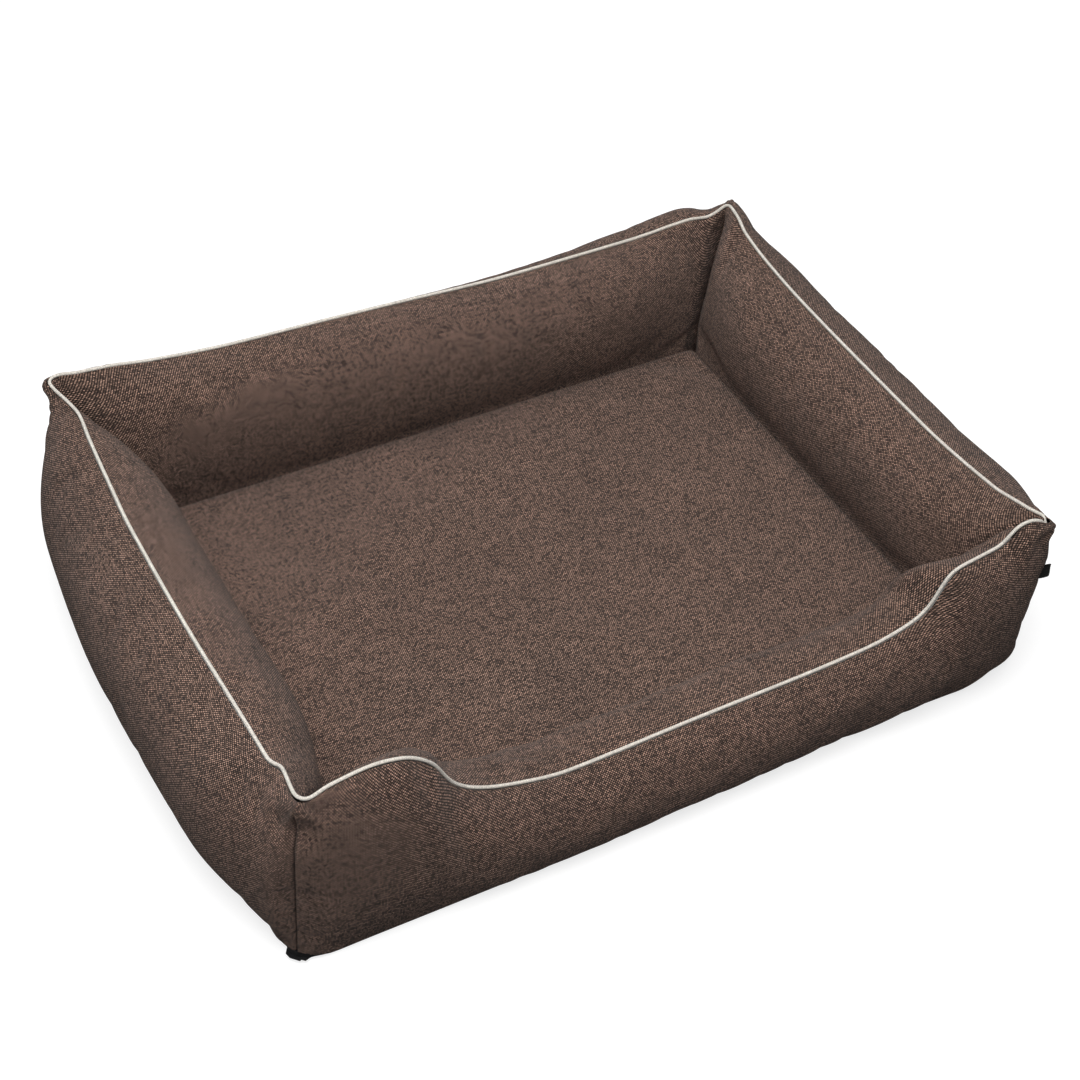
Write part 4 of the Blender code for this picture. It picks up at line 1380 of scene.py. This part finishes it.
# %% Foam block
foam_low, foam_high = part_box("mattress_foam")
FOAM_GAP = 0.0012
foam = start_with("cube", "mattress_block", size=1.0, location=(foam_low + foam_high) / 2)
foam.scale = foam_high - foam_low - Vector((2 * FOAM_GAP, 2 * FOAM_GAP, 2 * FOAM_GAP))
place_in_mesh(foam)
round_edges(foam, 0.0115, 40, segments=4)
channel = start_with("cube", size=1.0, location=(0, foam_high.y, mattress_zip_up))
channel.scale = (2 * ZIP_CHANNEL + 0.004, 2 * (foam_high.y - mattress_coil[0].y + 0.0012), 0.034)
place_in_mesh(channel)
finish_with(foam, "BOOLEAN", object=channel, operation="DIFFERENCE", solver="EXACT")
bpy.data.objects.remove(channel)
shade(foam, 40)
dress(foam, "foam", "mattress")
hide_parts("mattress_foam")
print("foam", triangles(foam), "triangles")

# %% [markdown]
# ## The zips
# A coil zip is two tapes, each with a nylon spiral sewn to its edge, a metal slider, and a stop at each end.
# The tapes, stops, sliders and the pull come from the frame: copies of them are merged here, and all but the
# tapes get soft edges. The spiral is a small slanting bar, copied hundreds of times for each side and set
# half a step apart, as the two spirals mesh. Folded strips of the cover, stitched down, frame the opening.


# %% Copies of the CAD's small parts
def softened(node, name, finish, body, width):
    """A merged copy of a CAD node, with rounded edges when a width is given, which stands for it."""
    source = frame["nodes"][node]
    piece = source.copy()
    piece.data = source.data.copy()
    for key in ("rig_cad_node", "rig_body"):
        del piece[key]
    piece.name = piece.data.name = name
    piece.parent = None
    bpy.context.scene.collection.objects.link(piece)
    edit(piece, merge(0.00001), ("dissolve_limited", {"angle_limit": radians(2)}))
    if width:
        round_edges(piece, width, 35)
    shade(piece, 35)
    dress(piece, finish, body)
    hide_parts(node)
    return piece


for zip_name, body in (("rim_zip", "rim"), ("mattress_zip", "mattress")):
    for part in ("tape_upper", "tape_lower"):
        softened(f"{zip_name}_{part}", f"{zip_name}_{part}_cloth", "zip", body, 0.0)
    for part in ("stop_start", "stop_finish"):
        softened(f"{zip_name}_{part}", f"{zip_name}_{part}_metal", "zip_metal", body, 0.0005)
    softened(f"{zip_name}_slider", f"{zip_name}_slider_metal", "zip_metal",
             f"{zip_name}_slider", 0.0003)
softened("rim_zip_pull", "rim_zip_pull_metal", "zip_metal", "rim_zip_pull", 0.0003)
print("tapes, stops, sliders and the pull")

# %% Coils
BAR_PITCH = 0.0014
BAR_LENGTH = 0.0031
BAR_THICK = 0.00055
BAR_SLANT = 0.16


def joined(name, pieces):
    """One piece of several."""
    only(*pieces)
    bpy.ops.object.join()
    piece = bpy.context.object
    piece.name = piece.data.name = name
    return piece


def coil(name, node, body, up, face):
    """The two meshing spirals of a zip: two rows of slanting bars and the two sewing cords beside them."""
    low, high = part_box(node)
    middle = (low + high) / 2 - face * 0.0002
    count = int((high.x - low.x) / BAR_PITCH) - 1
    rows = []
    for side in (-1, 1):
        start = (low.x + BAR_PITCH * (0.9 if side > 0 else 1.4), 0, 0)
        bar = start_with("cylinder", vertices=6, radius=BAR_THICK, depth=BAR_LENGTH, location=start,
                         rotation=(pi / 2, 0, side * BAR_SLANT))
        place_in_mesh(bar)
        set_coordinates(bar, coordinates(bar) + [0, side * 0.00105, 0])
        cord = start_with("cylinder", vertices=8, radius=0.0004, depth=high.x - low.x,
                          location=((low.x + high.x) / 2, side * 0.0021, 0.0006), rotation=(0, pi / 2, 0))
        rows += [repeat(bar, count, (BAR_PITCH, 0, 0)), place_in_mesh(cord)]
    piece = joined(name, rows)
    local = coordinates(piece)
    placed = np.array(middle)[None, :] + np.outer(local[:, 1], up) + np.outer(local[:, 2], face)
    placed[:, 0] = local[:, 0]
    set_coordinates(piece, placed)
    edit(piece, OUTWARDS)
    shade(piece, 45)
    dress(piece, "nylon", body)
    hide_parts(node)
    print(name, 2 * count, "bars,", triangles(piece), "triangles")


coil("rim_zip_spiral", "rim_zip_coil", "rim", zip_up, zip_face)
coil("mattress_zip_spiral", "mattress_zip_coil", "mattress", Vector((0, 0, 1)), Vector((0, 1, 0)))


# %% Folded strips beside a zip
def folded_strip(name, profile, half_length, middle, up, face, body):
    """A prism along X from a closed (across, proud) outline, with soft edges."""
    strip = start_with("circle", name, vertices=len(profile), radius=1.0, fill_type="NGON")
    ends = [middle + up * across + face * proud for across, proud in profile]
    set_coordinates(strip, [(-half_length, point[1], point[2]) for point in ends])
    pull = {"TRANSFORM_OT_translate": {"value": (2 * half_length, 0, 0)}}
    edit(strip, ("extrude_region_move", pull), OUTWARDS)
    round_edges(strip, 0.0004, 30)
    placed = coordinates(strip)
    across = (placed - np.array(middle)) @ np.array(up)
    set_grain(strip, np.stack([placed[:, 0], across], axis=-1))
    shade(strip, 40)
    return dress(strip, "cover", body)


def stitches(name, middle, up, face, rows, half_length, body, length=0.0026, gap=0.0009, radius=0.0003):
    """Rows of machine stitches along X: one small round-ended stitch, copied."""
    made_rows = []
    for across, proud in rows:
        at = middle + up * across + face * proud
        first = (-half_length + length / 2, at.y, at.z)
        stitch = start_with("uv_sphere", segments=6, ring_count=4, radius=1.0, location=first)
        stitch.scale = (length / 2, radius, radius)
        place_in_mesh(stitch)
        made_rows.append(repeat(stitch, int(2 * half_length / (length + gap)), (length + gap, 0, 0)))
    piece = joined(name, made_rows)
    set_grain(piece, coordinates(piece)[:, [0, 2]])
    bpy.ops.object.shade_smooth()
    return dress(piece, "thread", body)


deep = MATTRESS_HALF[1] - mattress_coil[1].y
rim_profile = [(0.0062, 0.0006), (0.0062, 0.0026), (0.0130, 0.0031), (0.0134, 0.0016)]
mattress_profile = [(0.0068, 0.0002), (0.0068, 0.0012), (0.0092, deep - 0.0006), (0.0104, deep - 0.0014),
                    (0.0100, 0.0002)]
mattress_surface = Vector((0, mattress_coil[1].y, mattress_zip_up))
for body, profile, strip_half, row_half, row, place in (
    ("rim", rim_profile, ZIP_HALF + 0.006, ZIP_HALF + 0.004, (0.0112, 0.0030),
     (zip_middle, zip_up, zip_face)),
    ("mattress", mattress_profile, ZIP_CHANNEL, ZIP_CHANNEL, (0.0124, deep + 0.0001),
     (mattress_surface, Vector((0, 0, 1)), Vector((0, 1, 0)))),
):
    for sign, side in ((1, "upper"), (-1, "lower")):
        outline = [(sign * across, proud) for across, proud in profile]
        folded_strip(f"{body}_placket_{side}", outline, strip_half, *place, body)
    stitches(f"{body}_placket_stitches", *place, (row, (-row[0], row[1])), row_half, body)
print("plackets and stitches")

# %% [markdown]
# ## The label tab
# A short piece of black ribbon, folded in half and caught in the corner seam of the right wall. It is left
# blank. It is drawn as the fold's outline, a long hairpin, and pulled out to the ribbon's width.

# %% Label
label_low, label_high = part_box("label_tab")
wall = WALLS["right"]
label_along = np.array([label_low.y])
label_up = (label_low.z + label_high.z) / 2
cloth_n, cloth_z = outer_curve(wall, label_along)
cloth_at = in_bed(wall, label_along, cloth_n, cloth_z, (cloth_z - BASE_THICK) / 0.25)[:, 0]
label_root = cloth_at[np.abs(cloth_at[:, 2] - label_up).argmin()]
LABEL_REACH = label_high.x - label_low.x + 0.004
LABEL_WIDTH = label_high.z - label_low.z
RIBBON = 0.00045
columns = np.linspace(0, 1, 15)
hairpin = []
for side in (1, -1):
    outward = columns if side > 0 else columns[::-1][1:]
    for share in outward:
        bulge = 0.0009 * sin(share * pi) + 0.0003
        hairpin.append((share * LABEL_REACH, side * bulge if share < 1 else 0.0))
hairpin = np.array(hairpin)
rows = np.linspace(-0.5, 0.5, 9)[:, None]
droop = 0.10 * LABEL_WIDTH * (hairpin[:, 0] / LABEL_REACH) ** 2
points = np.stack([
    label_root[0] - 0.004 + hairpin[:, 0] + 0 * rows,
    label_root[1] + hairpin[:, 1] + 0.0006 * np.sin(rows * 5) * hairpin[:, 0] / LABEL_REACH,
    label_up + rows * LABEL_WIDTH - droop,
], axis=-1)
walked = walk(hairpin)
label = drape("label_ribbon", points, np.stack([walked + 0 * rows, rows * LABEL_WIDTH + 0 * walked], axis=-1))
finish_with(label, "SOLIDIFY", thickness=RIBBON, offset=0)
shade(label, 50)
dress(label, "label", "rim")
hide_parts("label_tab")
print("label", triangles(label), "triangles")
